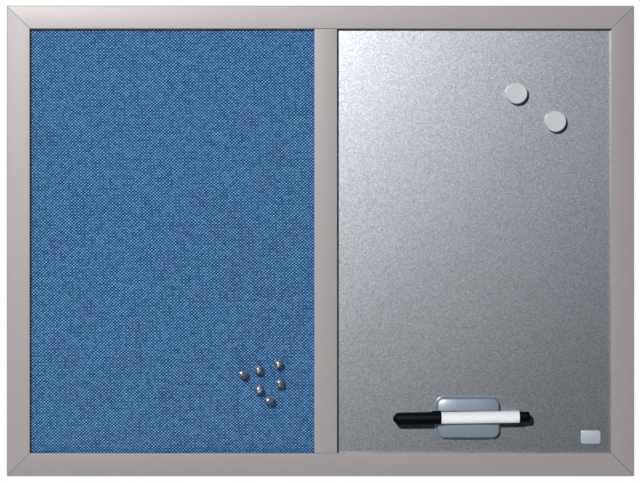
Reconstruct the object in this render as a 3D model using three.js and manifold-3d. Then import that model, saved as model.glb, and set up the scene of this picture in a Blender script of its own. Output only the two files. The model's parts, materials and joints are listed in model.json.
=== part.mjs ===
// Combination memo board for a wall: a fabric pinboard and a lacquered steel dry-wipe board, side by side in
// one mitred frame, with two magnets, a magnetic eraser that carries a marker, and six push pins in place.
// Millimetres, +Z up. The front faces -Y, and the frame's back lies in the wall's plane, y = 0.
// The origin is the middle of the top rail's back face.

import * as THREE from "three";
import { mergeVertices } from "three/addons/utils/BufferGeometryUtils.js";
import Module from "manifold-3d";

const wasm = await Module();
wasm.setup();

// The frame: four mitred rails with a rebate behind a front lip
const boardWidth = 600;
const boardHeight = 450;
const frameDepth = 18;
const railWidth = 22;
const lipDepth = 6;
const rebateWidth = 6;
const frontEdgeRadius = 0.7;
const mitreGap = 0.3;

// The divider between the two boards, a T section with its web between the panels
const dividerWidth = 22;
const dividerOffset = 5;
const webWidth = 10;
const jointGap = 0.2;
const dowelRadius = 2.5;
const dowelLength = 24;
const dowelChamfer = 0.8;

// The panels that lie in the rebate, front to back
const seatGap = 0.1;
const panelDepth = 8;
const panelClearance = 0.5;
const fabricThickness = 0.9;
const steelThickness = 0.5;
const backPanelThickness = 2.5;

// Fasteners of the frame and its back
const fastenerClearance = 0.3;
const cutOverrun = 1;
const vNailArm = 7;
const vNailThickness = 0.6;
const vNailHeight = 10;
const vNailInset = 6.5;
const pointWidth = 8;
const pointThickness = 0.5;
const pointExposed = 8;
const pointDriven = 4.5;
const pointBluntness = 2;
const pointSpreadShare = 0.24;

// The two keyhole hangers let into the backs of the stiles
const hangerLength = 44;
const hangerWidth = 13;
const hangerThickness = 1;
const hangerCornerRadius = 3;
const hangerRecess = 2;
const hangerDrop = 75;
const keyholeEntryRadius = 4.3;
const keyholeSlotWidth = 4.4;
const keyholeSlotRise = 9;
const keyholeEntryDrop = 4;
const pocketWidth = 10;
const pocketLength = 25;
const pocketDepth = 5;
const hangerScrewSpacing = 35;
const screwShankRadius = 1.2;
const screwHeadRadius = 2.5;
const screwHeadHeight = 0.8;
const screwLength = 9;
const screwTip = 2.5;
const screwSlotWidth = 0.6;
const screwSlotDepth = 0.4;

// The blank badge on the steel
const badgeWidth = 19;
const badgeHeight = 13;
const badgeThickness = 1.2;
const badgeCornerRadius = 2.5;
const badgeBevel = 0.5;
const badgePlaceShares = [0.9275, 0.037];

// The round magnets
const magnetRadius = 10;
const magnetHeight = 7.5;
const magnetEdgeRadius = 0.8;
const magnetWall = 1.8;
const magnetCoreThickness = 4;
const magnetPlaceShares = [
  [0.6554, 0.848],
  [0.7968, 0.782],
];

// The push pins: a clear spool-shaped head on a steel needle
const pinFlangeRadius = 4.3;
const pinFlangeHeight = 1.5;
const pinWaistRadius = 2.5;
const pinHeadRadius = 4.1;
const pinHeadHeight = 3;
const pinHeight = 10.8;
const pinCrown = 0.7;
const pinNeedleRadius = 0.55;
const pinNeedleLength = 7;
const pinNeedleHeld = 6;
const pinNeedlePoint = 2;
const pinPlaces = [
  { share: [0.748, 0.184], leanDegrees: [-6, 4] },
  { share: [0.8075, 0.194], leanDegrees: [-9, -9] },
  { share: [0.877, 0.2075], leanDegrees: [-10, -9] },
  { share: [0.881, 0.163], leanDegrees: [-7, -8] },
  { share: [0.8085, 0.147], leanDegrees: [-10, -8] },
  { share: [0.8415, 0.121], leanDegrees: [-10, 4] },
];

// The marker, measured from its cap's closed end
const markerLength = 130.5;
const capLength = 45.8;
const capEndRadius = 5.75;
const capMouthRadius = 6;
const capWall = 1;
const capTipRadius = 2.2;
const capTipLength = 3.8;
const capTipStep = 0.5;
const capNubLength = 8.6;
const capNubWidth = 3.2;
const capNubRise = 0.35;
const barrelRadius = 5.7;
const barrelWall = 1.2;
const neckRadius = 4.6;
const neckLength = 13;
const neckWall = 1.2;
const neckMouthRadius = 2.9;
const nibHolderLength = 9;
const nibHolderFlange = 1.2;
const nibHolderNoseRadius = 2.3;
const nibRadius = 1.5;
const nibReach = 5;
const nibLength = 34;
const reservoirRadius = 3.9;
const plugLength = 10.1;
const plugCollar = 1.1;
const plugRadius = 4.9;
const plugEdgeRadius = 1.7;
const plugSpigot = 6;

// The magnetic eraser, whose housing has a trough for the marker
const eraserWidth = 63.9;
const eraserHeight = 42.1;
const eraserRise = 9;
const eraserCornerRadius = 9;
const eraserDraft = 2.8;
const eraserEdgeRadius = 0.6;
const eraserCrown = 1.6;
const eraserCrownWidth = 9;
const eraserWall = 1.6;
const eraserFootRise = 0.8;
const eraserFeltShows = 1.2;
const feltThickness = 2.8;
const markerAxisRise = 11.2;
const markerOffset = 0.91;
const markerTiltDegrees = 0.85;
const markerOverhang = 40.17;
const troughOffset = 0.71;
const troughRadius = 6.6;
const troughWall = 1.5;
const troughFlare = 1;
const troughEndRounding = 2.2;
const eraserMagnetLength = 36;
const eraserMagnetWidth = 6.5;
const eraserMagnetThickness = 2.6;
const eraserPlaceShares = [0.4787, 0.083];

// Facets of round shapes
const cornerSteps = 4;
const smallestCorner = 0.5;
const troughSteps = 16;
const holeSteps = 12;
const pinSides = 20;
const fastenerSides = 16;
const roundSides = 32;

// Planes and openings that follow from the sizes above
const frontPlane = -frameDepth;
const lipBack = frontPlane + lipDepth;
const panelFront = lipBack + seatGap;
const panelBack = panelFront + panelDepth;
const backPanelFront = panelBack + seatGap;
const backPanelBack = backPanelFront + backPanelThickness;
const openingHalfWidth = boardWidth / 2 - railWidth;
const openingHalfHeight = boardHeight / 2 - railWidth;
const rebateHalfWidth = openingHalfWidth + rebateWidth;
const rebateHalfHeight = openingHalfHeight + rebateWidth;
const railBackWidth = railWidth - rebateWidth;
const steelFront = panelFront;

const rightAngle = Math.PI / 2;

function material(color, roughness, metalness = 0) {
  return new THREE.MeshStandardMaterial({ color, roughness, metalness });
}

const materials = {
  frame: material(0xa9a4a4, 0.5, 0.2),
  fabric: material(0x3f6b98, 0.95),
  softboard: material(0xa78b63, 0.95),
  steel: material(0x9aa0aa, 0.45, 0.85),
  hardboard: material(0x6e4c33, 0.85),
  wood: material(0xcdb083, 0.8),
  zinc: material(0xb7babf, 0.35, 0.9),
  badge: material(0x9aa1aa, 0.4, 0.5),
  magnetCap: material(0xc4c9cb, 0.4),
  ferrite: material(0x33343a, 0.6, 0.2),
  clear: new THREE.MeshStandardMaterial({
    color: 0xdfe8ec,
    roughness: 0.05,
    transparent: true,
    opacity: 0.35,
  }),
  needle: material(0xc8cacd, 0.2, 1),
  black: material(0x101114, 0.5),
  white: material(0xeeeeee, 0.35),
  fibre: material(0xd9d6cc, 0.95),
  housing: material(0x8896a0, 0.2),
  felt: material(0x2b2d31, 1),
};

// A closed geometry as a manifold-3d solid, read from its positions alone
function solidOf(geometry) {
  const bare = geometry.index ? geometry.toNonIndexed() : geometry.clone();
  bare.deleteAttribute("normal");
  bare.deleteAttribute("uv");
  const merged = mergeVertices(bare);
  return new wasm.Manifold(
    new wasm.Mesh({
      numProp: 3,
      vertProperties: merged.attributes.position.array,
      triVerts: merged.index.array,
    }),
  );
}

function geometryOf(solid) {
  const { vertProperties, triVerts } = solid.getMesh();
  const geometry = new THREE.BufferGeometry();
  geometry.setAttribute("position", new THREE.BufferAttribute(new Float32Array(vertProperties), 3));
  geometry.setIndex(new THREE.BufferAttribute(new Uint32Array(triVerts), 1));
  geometry.computeVertexNormals();
  return geometry;
}

function cut(geometry, tools) {
  return geometryOf(tools.reduce((solid, tool) => solid.subtract(solidOf(tool)), solidOf(geometry)));
}

function join(geometry, others) {
  return geometryOf(others.reduce((solid, other) => solid.add(solidOf(other)), solidOf(geometry)));
}

function mesh(name, geometry, finish) {
  const made = new THREE.Mesh(geometry, finish);
  made.name = name;
  return made;
}

// A box between two corners
function block(low, high) {
  const size = high.map((value, axis) => value - low[axis]);
  const middle = high.map((value, axis) => (value + low[axis]) / 2);
  return new THREE.BoxGeometry(...size).translate(...middle);
}

// A solid of revolution about +Y from [radius, height] points
function turned(profile, sides) {
  return new THREE.LatheGeometry(
    profile.map(([radius, height]) => new THREE.Vector2(radius, height)),
    sides,
  );
}

// The same, standing out of the board towards the viewer
function turnedOutwards(profile, sides) {
  return turned(profile, sides).rotateX(Math.PI);
}

// The same, along +X
function turnedAlongX(profile, sides) {
  return turned(profile, sides).rotateZ(-rightAngle);
}

// Points of a quarter round from one direction to the next, as [radius, height] pairs
function quarterRound(centreRadius, centreHeight, radius, fromAngle) {
  return Array.from({ length: cornerSteps + 1 }, (_, step) => {
    const angle = fromAngle + (rightAngle * step) / cornerSteps;
    return [centreRadius + radius * Math.cos(angle), centreHeight + radius * Math.sin(angle)];
  });
}

function roundedRectangle(width, height, radius) {
  const x = width / 2 - radius;
  const y = height / 2 - radius;
  const shape = new THREE.Shape();
  shape.absarc(x, y, radius, 0, rightAngle);
  shape.absarc(-x, y, radius, rightAngle, 2 * rightAngle);
  shape.absarc(-x, -y, radius, 2 * rightAngle, 3 * rightAngle);
  shape.absarc(x, -y, radius, 3 * rightAngle, 4 * rightAngle);
  return shape;
}

// A solid through rounded rectangles that stand out of the board: a layer is its rise and its inset
function lofted(width, height, radius, layers) {
  const rings = layers.map(({ rise, inset }) =>
    roundedRectangle(width - 2 * inset, height - 2 * inset, Math.max(radius - inset, smallestCorner))
      .getPoints(cornerSteps)
      .map((point) => [point.x, -rise, point.y]),
  );
  const count = rings[0].length;
  const last = layers.length - 1;
  const centres = [
    [0, -layers[0].rise, 0],
    [0, -layers[last].rise, 0],
  ];
  const triangles = [];
  for (let i = 0; i < count; i += 1) {
    const next = (i + 1) % count;
    for (let ring = 0; ring < last; ring += 1) {
      const [a, b] = [ring * count + i, ring * count + next];
      triangles.push([a, b, a + count], [b, b + count, a + count]);
    }
    triangles.push([count * rings.length, next, i]);
    triangles.push([count * rings.length + 1, last * count + i, last * count + next]);
  }
  const geometry = new THREE.BufferGeometry();
  const positions = new Float32Array([...rings.flat(), ...centres].flat());
  geometry.setAttribute("position", new THREE.BufferAttribute(positions, 3));
  geometry.setIndex(triangles.flat());
  geometry.computeVertexNormals();
  return geometry;
}

// A flat plate cut from a shape drawn as seen from the front, between two planes of constant y
function plate(shape, frontY, backY, steps = cornerSteps) {
  return new THREE.ExtrudeGeometry(shape, {
    depth: backY - frontY,
    bevelEnabled: false,
    curveSegments: steps,
  })
    .rotateX(rightAngle)
    .translate(0, backY, 0);
}

// A place on one of the two boards, as a share of its opening's width and height
const pinboardLeft = -openingHalfWidth;
const pinboardRight = dividerOffset - dividerWidth / 2;
const steelLeft = dividerOffset + dividerWidth / 2;
const steelRight = openingHalfWidth;

function placeOnBoard(left, right, [acrossShare, upShare]) {
  return new THREE.Vector3(
    left + acrossShare * (right - left),
    panelFront - seatGap,
    -openingHalfHeight + upShare * 2 * openingHalfHeight,
  );
}

const placeOnPinboard = (share) => placeOnBoard(pinboardLeft, pinboardRight, share);
const placeOnSteel = (share) => placeOnBoard(steelLeft, steelRight, share);

// The rail's section: x runs inwards from the board's outer edge and y from the front to the back
function railSection() {
  const section = new THREE.Shape();
  section.moveTo(0, 0);
  section.lineTo(0, frontPlane + frontEdgeRadius);
  section.absarc(
    frontEdgeRadius,
    frontPlane + frontEdgeRadius,
    frontEdgeRadius,
    2 * rightAngle,
    3 * rightAngle,
  );
  section.absarc(
    railWidth - frontEdgeRadius,
    frontPlane + frontEdgeRadius,
    frontEdgeRadius,
    3 * rightAngle,
    4 * rightAngle,
  );
  section.lineTo(railWidth, lipBack);
  section.lineTo(railBackWidth, lipBack);
  section.lineTo(railBackWidth, 0);
  return section;
}

// A rail along X with its outer edge at z = 0, its width running down and both ends mitred
function mitredRail(length) {
  const geometry = new THREE.ExtrudeGeometry(railSection(), {
    depth: length,
    bevelEnabled: false,
    curveSegments: cornerSteps,
  });
  const trim = (mitreGap / 2) * Math.SQRT2;
  const position = geometry.attributes.position;
  for (let i = 0; i < position.count; i += 1) {
    const inset = position.getX(i) + trim;
    position.setZ(i, position.getZ(i) > length / 2 ? length - inset : inset);
  }
  return geometry.rotateY(rightAngle).translate(-length / 2, 0, 0);
}

// A steel V that ties a mitred corner: drawn for the top right corner, its outer corner at the origin
function vNailGeometry(slack) {
  const outer = -vNailInset + slack;
  const inner = outer - vNailThickness - 2 * slack;
  const end = -vNailInset - vNailArm - slack;
  const outline = new THREE.Shape();
  outline.moveTo(outer, outer);
  outline.lineTo(end, outer);
  outline.lineTo(end, inner);
  outline.lineTo(inner, inner);
  outline.lineTo(inner, end);
  outline.lineTo(outer, end);
  return plate(outline, -vNailHeight - slack, slack > 0 ? cutOverrun : -seatGap);
}

const corners = [
  { name: "top_right", x: 1, z: 1, turn: 0 },
  { name: "top_left", x: -1, z: 1, turn: -rightAngle },
  { name: "bottom_left", x: -1, z: -1, turn: 2 * rightAngle },
  { name: "bottom_right", x: 1, z: -1, turn: rightAngle },
];

function atCorner(geometry, { x, z, turn }) {
  return geometry.rotateY(turn).translate((x * boardWidth) / 2, 0, (z * boardHeight) / 2);
}

// A pointed tab that holds the back panel: drawn for the top rail, its shoulder at the rebate's wall
function retainerTab() {
  const outline = new THREE.Shape();
  outline.moveTo(-pointWidth / 2, -pointExposed);
  outline.lineTo(pointWidth / 2, -pointExposed);
  outline.lineTo(pointWidth / 2, 0);
  outline.lineTo(pointBluntness / 2, pointDriven);
  outline.lineTo(-pointBluntness / 2, pointDriven);
  outline.lineTo(-pointWidth / 2, 0);
  const front = backPanelBack + seatGap;
  return plate(outline, front, front + pointThickness);
}

function retainerSlot() {
  const front = backPanelBack + seatGap - fastenerClearance;
  return block(
    [-pointWidth / 2 - fastenerClearance, front, -cutOverrun],
    [
      pointWidth / 2 + fastenerClearance,
      front + pointThickness + 2 * fastenerClearance,
      pointDriven + fastenerClearance,
    ],
  );
}

const retainers = [-1, 1].flatMap((side) => [
  { name: side < 0 ? "top_left" : "top_right", x: side * pointSpreadShare * boardWidth, z: rebateHalfHeight, turn: 0 },
  {
    name: side < 0 ? "bottom_left" : "bottom_right",
    x: side * pointSpreadShare * boardWidth,
    z: -rebateHalfHeight,
    turn: 2 * rightAngle,
  },
  {
    name: side < 0 ? "left_lower" : "left_upper",
    x: -rebateHalfWidth,
    z: side * pointSpreadShare * boardHeight,
    turn: -rightAngle,
  },
  {
    name: side < 0 ? "right_lower" : "right_upper",
    x: rebateHalfWidth,
    z: side * pointSpreadShare * boardHeight,
    turn: rightAngle,
  },
]);

function atRebate(geometry, { x, z, turn }) {
  return geometry.rotateY(turn).translate(x, 0, z);
}

// The keyhole hangers
const hangerMiddle = boardHeight / 2 - hangerDrop;
const hangerX = boardWidth / 2 - railBackWidth / 2;
const hangerFace = -hangerRecess + hangerThickness;

function keyhole() {
  const slot = keyholeSlotWidth / 2;
  const meeting = Math.asin(slot / keyholeEntryRadius);
  const hole = new THREE.Path();
  hole.absarc(0, -keyholeEntryDrop, keyholeEntryRadius, rightAngle + meeting, 5 * rightAngle - meeting);
  hole.absarc(0, -keyholeEntryDrop + keyholeSlotRise, slot, 0, 2 * rightAngle);
  return hole;
}

function hangerPlate() {
  const outline = roundedRectangle(hangerWidth, hangerLength, hangerCornerRadius);
  const screwHoles = [-1, 1].map((end) => {
    const hole = new THREE.Path();
    hole.absarc(0, (end * hangerScrewSpacing) / 2, screwShankRadius + fastenerClearance, 0, 4 * rightAngle);
    return hole;
  });
  outline.holes.push(keyhole(), ...screwHoles);
  return plate(outline, -hangerRecess + seatGap, hangerFace, holeSteps);
}

function hangerSeat() {
  const slack = 2 * fastenerClearance;
  const recess = roundedRectangle(hangerWidth + slack, hangerLength + slack, hangerCornerRadius);
  const pocket = block(
    [-pocketWidth / 2, -hangerRecess - pocketDepth, -pocketLength / 2],
    [pocketWidth / 2, 0, pocketLength / 2],
  );
  const pilots = [-1, 1].map((end) =>
    turned(
      [
        [0, -hangerRecess - screwLength],
        [screwShankRadius + fastenerClearance, -hangerRecess - screwLength],
        [screwShankRadius + fastenerClearance, 0],
        [0, 0],
      ],
      fastenerSides,
    ).translate(0, 0, (end * hangerScrewSpacing) / 2),
  );
  return join(plate(recess, -hangerRecess, cutOverrun), [pocket, ...pilots]);
}

// A pan-head wood screw pointing into the frame, its head's underside on the hanger plate
function hangerScrew() {
  const underHead = hangerFace + seatGap / 2;
  const top = underHead + screwHeadHeight;
  const end = underHead - screwLength + seatGap;
  const crown = screwHeadRadius - screwHeadHeight / 2;
  const body = turned(
    [
      [0, end],
      [screwShankRadius, end + screwTip],
      [screwShankRadius, underHead],
      [screwHeadRadius, underHead],
      [screwHeadRadius, underHead + screwHeadHeight / 2],
      [crown, top],
      [0, top],
    ],
    fastenerSides,
  );
  const reach = 0.7 * screwHeadRadius;
  const slot = screwSlotWidth / 2;
  const cross = [
    block([-reach, top - screwSlotDepth, -slot], [reach, top + cutOverrun, slot]),
    block([-slot, top - screwSlotDepth, -reach], [slot, top + cutOverrun, reach]),
  ];
  return cut(body, cross);
}

// The dowels that carry the divider, along Z
const dowelMiddleY = (lipBack + panelBack) / 2;
const dowelMiddleZ = rebateHalfHeight;

function dowel(radius, length, chamfer) {
  return turned(
    [
      [0, -length / 2],
      [radius - chamfer, -length / 2],
      [radius, -length / 2 + chamfer],
      [radius, length / 2 - chamfer],
      [radius - chamfer, length / 2],
      [0, length / 2],
    ],
    fastenerSides,
  ).rotateX(rightAngle);
}

const dowelBore = () => dowel(dowelRadius + fastenerClearance, dowelLength + 2 * fastenerClearance, 0);
const atDowel = (geometry, end) => geometry.translate(dividerOffset, dowelMiddleY, end * dowelMiddleZ);

function frameMeshes() {
  const rails = [
    { name: "frame_rail_top", length: boardWidth, turn: 0, x: 0, z: boardHeight / 2 },
    { name: "frame_rail_bottom", length: boardWidth, turn: 2 * rightAngle, x: 0, z: -boardHeight / 2 },
    { name: "frame_stile_left", length: boardHeight, turn: -rightAngle, x: -boardWidth / 2, z: 0 },
    { name: "frame_stile_right", length: boardHeight, turn: rightAngle, x: boardWidth / 2, z: 0 },
  ];
  const tools = [
    ...corners.map((corner) => atCorner(vNailGeometry(fastenerClearance), corner)),
    ...retainers.map((retainer) => atRebate(retainerSlot(), retainer)),
    ...[-1, 1].map((side) => hangerSeat().translate(side * hangerX, 0, hangerMiddle)),
    ...[-1, 1].map((end) => atDowel(dowelBore(), end)),
  ];
  return rails.map(({ name, length, turn, x, z }) =>
    mesh(name, cut(mitredRail(length).rotateY(turn).translate(x, 0, z), tools), materials.frame),
  );
}

// The divider's cap lies between the lips, and its web runs on under them to the rebate's walls
function dividerBar() {
  const halfCap = dividerWidth / 2;
  const halfWeb = webWidth / 2;
  const edge = frontPlane + frontEdgeRadius;
  const section = new THREE.Shape();
  section.moveTo(-halfWeb, panelBack);
  section.lineTo(-halfWeb, lipBack);
  section.lineTo(-halfCap, lipBack);
  section.lineTo(-halfCap, edge);
  section.absarc(-halfCap + frontEdgeRadius, edge, frontEdgeRadius, 2 * rightAngle, 3 * rightAngle);
  section.absarc(halfCap - frontEdgeRadius, edge, frontEdgeRadius, 3 * rightAngle, 4 * rightAngle);
  section.lineTo(halfCap, lipBack);
  section.lineTo(halfWeb, lipBack);
  section.lineTo(halfWeb, panelBack);
  const length = 2 * (openingHalfHeight - jointGap);
  const bar = new THREE.ExtrudeGeometry(section, {
    depth: length,
    bevelEnabled: false,
    curveSegments: cornerSteps,
  }).translate(0, 0, -length / 2);
  const tenon = block(
    [-halfWeb, lipBack + jointGap, -rebateHalfHeight + jointGap],
    [halfWeb, panelBack, rebateHalfHeight - jointGap],
  );
  const bores = [-1, 1].map((end) => atDowel(dowelBore(), end));
  return mesh("divider_bar", cut(join(bar, [tenon]).translate(dividerOffset, 0, 0), bores), materials.frame);
}

// Both panels fill the rebate from its wall to the divider's web
const pinPanel = {
  low: -rebateHalfWidth + panelClearance,
  high: dividerOffset - webWidth / 2 - panelClearance,
};
const steelPanel = {
  low: dividerOffset + webWidth / 2 + panelClearance,
  high: rebateHalfWidth - panelClearance,
};
const panelHalfHeight = rebateHalfHeight - panelClearance;

function panelLayer({ low, high }, frontY, backY) {
  return block([low, frontY, -panelHalfHeight], [high, backY, panelHalfHeight]);
}

// A push pin stands square to its flange, and leans by turning about the point where its needle enters
function pinMatrix({ share, leanDegrees: [aboutX, aboutZ] }) {
  const lean = new THREE.Euler(THREE.MathUtils.degToRad(aboutX), 0, THREE.MathUtils.degToRad(aboutZ));
  return new THREE.Matrix4().makeRotationFromEuler(lean).setPosition(placeOnPinboard(share));
}

function pinLift({ leanDegrees }) {
  const lean = Math.max(...leanDegrees.map(Math.abs));
  return seatGap + pinFlangeRadius * Math.sin(THREE.MathUtils.degToRad(Math.SQRT2 * lean));
}

function needleBore(pin) {
  const radius = pinNeedleRadius + fastenerClearance;
  const depth = pinNeedleLength + fastenerClearance;
  const profile = [
    [0, -depth],
    [radius, -depth],
    [radius, cutOverrun],
    [0, cutOverrun],
  ];
  return turnedOutwards(profile, fastenerSides / 2).applyMatrix4(pinMatrix(pin));
}

function panelMeshes() {
  const fabricBack = panelFront + fabricThickness;
  const steelBack = steelFront + steelThickness;
  const bores = pinPlaces.map(needleBore);
  const backPanel = block(
    [-rebateHalfWidth + panelClearance, backPanelFront, -panelHalfHeight],
    [rebateHalfWidth - panelClearance, backPanelBack, panelHalfHeight],
  );
  return [
    mesh("pinboard_fabric", cut(panelLayer(pinPanel, panelFront, fabricBack), bores), materials.fabric),
    mesh(
      "pinboard_softboard",
      cut(panelLayer(pinPanel, fabricBack + seatGap, panelBack), bores),
      materials.softboard,
    ),
    mesh("steel_sheet", panelLayer(steelPanel, steelFront, steelBack), materials.steel),
    mesh("steel_backer", panelLayer(steelPanel, steelBack + seatGap, panelBack), materials.softboard),
    mesh("back_panel", backPanel, materials.hardboard),
  ];
}

function fastenerMeshes() {
  return [
    ...corners.map((corner) =>
      mesh(`corner_v_nail_${corner.name}`, atCorner(vNailGeometry(0), corner), materials.zinc),
    ),
    ...retainers.map((retainer) =>
      mesh(`back_retainer_${retainer.name}`, atRebate(retainerTab(), retainer), materials.zinc),
    ),
    ...[-1, 1].map((end) => {
      const made = mesh(
        `divider_dowel_${end < 0 ? "bottom" : "top"}`,
        dowel(dowelRadius, dowelLength, dowelChamfer),
        materials.wood,
      );
      made.position.set(dividerOffset, dowelMiddleY, end * dowelMiddleZ);
      return made;
    }),
  ];
}

function hangerMeshes() {
  return [-1, 1].flatMap((side) => {
    const sideName = side < 0 ? "left" : "right";
    const hanger = mesh(`keyhole_hanger_${sideName}`, hangerPlate(), materials.zinc);
    hanger.position.set(side * hangerX, 0, hangerMiddle);
    const screws = [-1, 1].map((end) => {
      const screw = mesh(
        `hanger_screw_${sideName}_${end < 0 ? "lower" : "upper"}`,
        hangerScrew(),
        materials.zinc,
      );
      screw.position.set(side * hangerX, 0, hangerMiddle + (end * hangerScrewSpacing) / 2);
      return screw;
    });
    return [hanger, ...screws];
  });
}

function badgeMesh() {
  const layers = [
    { rise: seatGap, inset: 0 },
    { rise: badgeThickness - badgeBevel, inset: 0 },
    { rise: badgeThickness, inset: badgeBevel },
  ];
  const badge = mesh(
    "blank_badge",
    lofted(badgeWidth, badgeHeight, badgeCornerRadius, layers),
    materials.badge,
  );
  badge.position.copy(placeOnSteel(badgePlaceShares)).setY(steelFront);
  return badge;
}

// A plastic cup over a ferrite disc, its rim on the steel
function magnetGroup(share, index) {
  const coreRadius = magnetRadius - magnetWall;
  const cup = [
    [0, magnetCoreThickness + 2 * seatGap],
    [coreRadius, magnetCoreThickness + 2 * seatGap],
    [coreRadius, 0],
    [magnetRadius, 0],
    ...quarterRound(magnetRadius - magnetEdgeRadius, magnetHeight - magnetEdgeRadius, magnetEdgeRadius, 0),
    [0, magnetHeight],
  ];
  const discRadius = coreRadius - fastenerClearance;
  const disc = [
    [0, 0],
    [discRadius, 0],
    [discRadius, magnetCoreThickness],
    [0, magnetCoreThickness],
  ];
  const group = new THREE.Group();
  group.add(
    mesh(`magnet_${index + 1}_cap`, turnedOutwards(cup, roundSides), materials.magnetCap),
    mesh(`magnet_${index + 1}_core`, turnedOutwards(disc, roundSides), materials.ferrite),
  );
  group.position.copy(placeOnSteel(share));
  return group;
}

function pinHead() {
  const waistFoot = 2 * pinFlangeHeight;
  const headFoot = pinHeight - pinHeadHeight;
  const flare = (pinHeadRadius - pinWaistRadius) / 2;
  const boreRadius = pinNeedleRadius + fastenerClearance;
  return [
    [0, pinNeedleHeld + fastenerClearance],
    [boreRadius, pinNeedleHeld + fastenerClearance],
    [boreRadius, 0],
    [pinFlangeRadius - pinFlangeHeight / 3, 0],
    [pinFlangeRadius, pinFlangeHeight / 2],
    [pinFlangeRadius - pinFlangeHeight / 3, pinFlangeHeight],
    [pinWaistRadius + flare / 2, waistFoot - pinFlangeHeight / 3],
    [pinWaistRadius, waistFoot + pinFlangeHeight],
    [pinWaistRadius + flare / 3, headFoot - pinFlangeHeight],
    [pinWaistRadius + flare, headFoot - pinFlangeHeight / 3],
    [pinHeadRadius, headFoot + pinHeadHeight / 4],
    [pinHeadRadius, pinHeight - pinCrown - pinHeadHeight / 4],
    [pinHeadRadius - pinCrown, pinHeight - pinCrown / 2],
    [pinHeadRadius / 2, pinHeight],
    [0, pinHeight],
  ];
}

function pinGroup(pin, index) {
  const lift = pinLift(pin);
  const needle = [
    [0, -pinNeedleLength],
    [pinNeedleRadius, -pinNeedleLength + pinNeedlePoint],
    [pinNeedleRadius, lift + pinNeedleHeld],
    [0, lift + pinNeedleHeld],
  ];
  const head = pinHead().map(([radius, height]) => [radius, height + lift]);
  const group = new THREE.Group();
  group.add(
    mesh(`push_pin_${index + 1}_head`, turnedOutwards(head, pinSides), materials.clear),
    mesh(`push_pin_${index + 1}_needle`, turnedOutwards(needle, fastenerSides / 2), materials.needle),
  );
  group.applyMatrix4(pinMatrix(pin));
  return group;
}

// The marker lies along X, and x = 0 is its cap's closed end
const barrelStart = capLength + jointGap;
const barrelEnd = markerLength - plugLength;
const neckStart = barrelStart - neckLength;
const barrelBore = barrelRadius - barrelWall;
const neckBore = neckRadius - neckWall;
const collarStart = barrelEnd + jointGap;
const spigotStart = collarStart - plugSpigot;

function markerBarrel() {
  return turnedAlongX(
    [
      [neckMouthRadius, neckStart],
      [neckRadius, neckStart],
      [neckRadius, barrelStart],
      [barrelRadius, barrelStart],
      [barrelRadius, barrelEnd],
      [barrelBore, barrelEnd],
      [barrelBore, barrelStart + neckWall],
      [neckBore, barrelStart],
      [neckBore, neckStart + neckWall],
      [neckMouthRadius, neckStart + neckWall],
      [neckMouthRadius, neckStart],
    ],
    roundSides,
  );
}

// The nib holder's flange lies behind the neck's front wall and its nose stands out through it
function markerNibHolder() {
  const flangeRadius = neckBore - fastenerClearance / 2;
  const noseRadius = neckMouthRadius - fastenerClearance;
  const flangeFront = neckStart + neckWall + seatGap;
  const bore = nibRadius + fastenerClearance;
  return turnedAlongX(
    [
      [bore, neckStart - nibHolderLength],
      [nibHolderNoseRadius, neckStart - nibHolderLength],
      [noseRadius, neckStart],
      [noseRadius, flangeFront],
      [flangeRadius, flangeFront],
      [flangeRadius, flangeFront + nibHolderFlange],
      [bore, flangeFront + nibHolderFlange],
      [bore, neckStart - nibHolderLength],
    ],
    roundSides,
  );
}

const nibTip = neckStart - nibHolderLength - nibReach;

function markerNib() {
  const shoulder = nibTip + 2 * nibRadius;
  return turnedAlongX(
    [
      [0, nibTip],
      [nibRadius / 2, nibTip + nibRadius / 3],
      [nibRadius, shoulder],
      [nibRadius, nibTip + nibLength],
      [0, nibTip + nibLength],
    ],
    fastenerSides,
  );
}

// The ink rod lies behind the neck, and the nib's back end reaches into it
function markerReservoir() {
  const start = barrelStart + neckWall + fastenerClearance;
  const end = spigotStart - fastenerClearance;
  const socket = nibRadius + fastenerClearance;
  const nibEnd = Math.max(nibTip + nibLength, start) + fastenerClearance;
  return turnedAlongX(
    [
      [0, nibEnd],
      [socket, nibEnd],
      [socket, start],
      [reservoirRadius, start],
      [reservoirRadius, end],
      [0, end],
    ],
    roundSides,
  );
}

function markerEndPlug() {
  const stubEnd = markerLength;
  const spigotRadius = barrelBore - fastenerClearance;
  return turnedAlongX(
    [
      [0, spigotStart],
      [spigotRadius, spigotStart],
      [spigotRadius, collarStart],
      [barrelRadius, collarStart],
      [barrelRadius, collarStart + plugCollar],
      [plugRadius, collarStart + plugCollar],
      ...quarterRound(plugRadius - plugEdgeRadius, 0, plugEdgeRadius, 0).map(([radius, rise]) => [
        radius,
        stubEnd - plugEdgeRadius + rise,
      ]),
      [0, stubEnd],
    ],
    roundSides,
  );
}

// The cap tapers from its mouth to a stepped cone, with one nub that stops the marker rolling
function markerCap() {
  const taperStart = capTipLength;
  const boreRadius = neckRadius + fastenerClearance;
  const boreEndRadius = capEndRadius - capWall;
  const shell = turnedAlongX(
    [
      [0, 0],
      [capTipRadius, 0],
      [(capTipRadius + capEndRadius) / 2, capTipLength / 2],
      [(capTipRadius + capEndRadius) / 2 + capTipStep, capTipLength / 2],
      [capEndRadius, taperStart],
      [capMouthRadius, capLength],
      [boreRadius, capLength],
      [boreRadius, neckStart],
      [boreEndRadius, taperStart + capWall],
      [0, taperStart + capWall],
    ],
    roundSides,
  );
  const nub = block(
    [capLength - capNubLength, -capNubWidth / 2, capMouthRadius - capWall],
    [capLength - capWall / 2, capNubWidth / 2, capMouthRadius + capNubRise],
  );
  return join(shell, [nub]);
}

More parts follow.
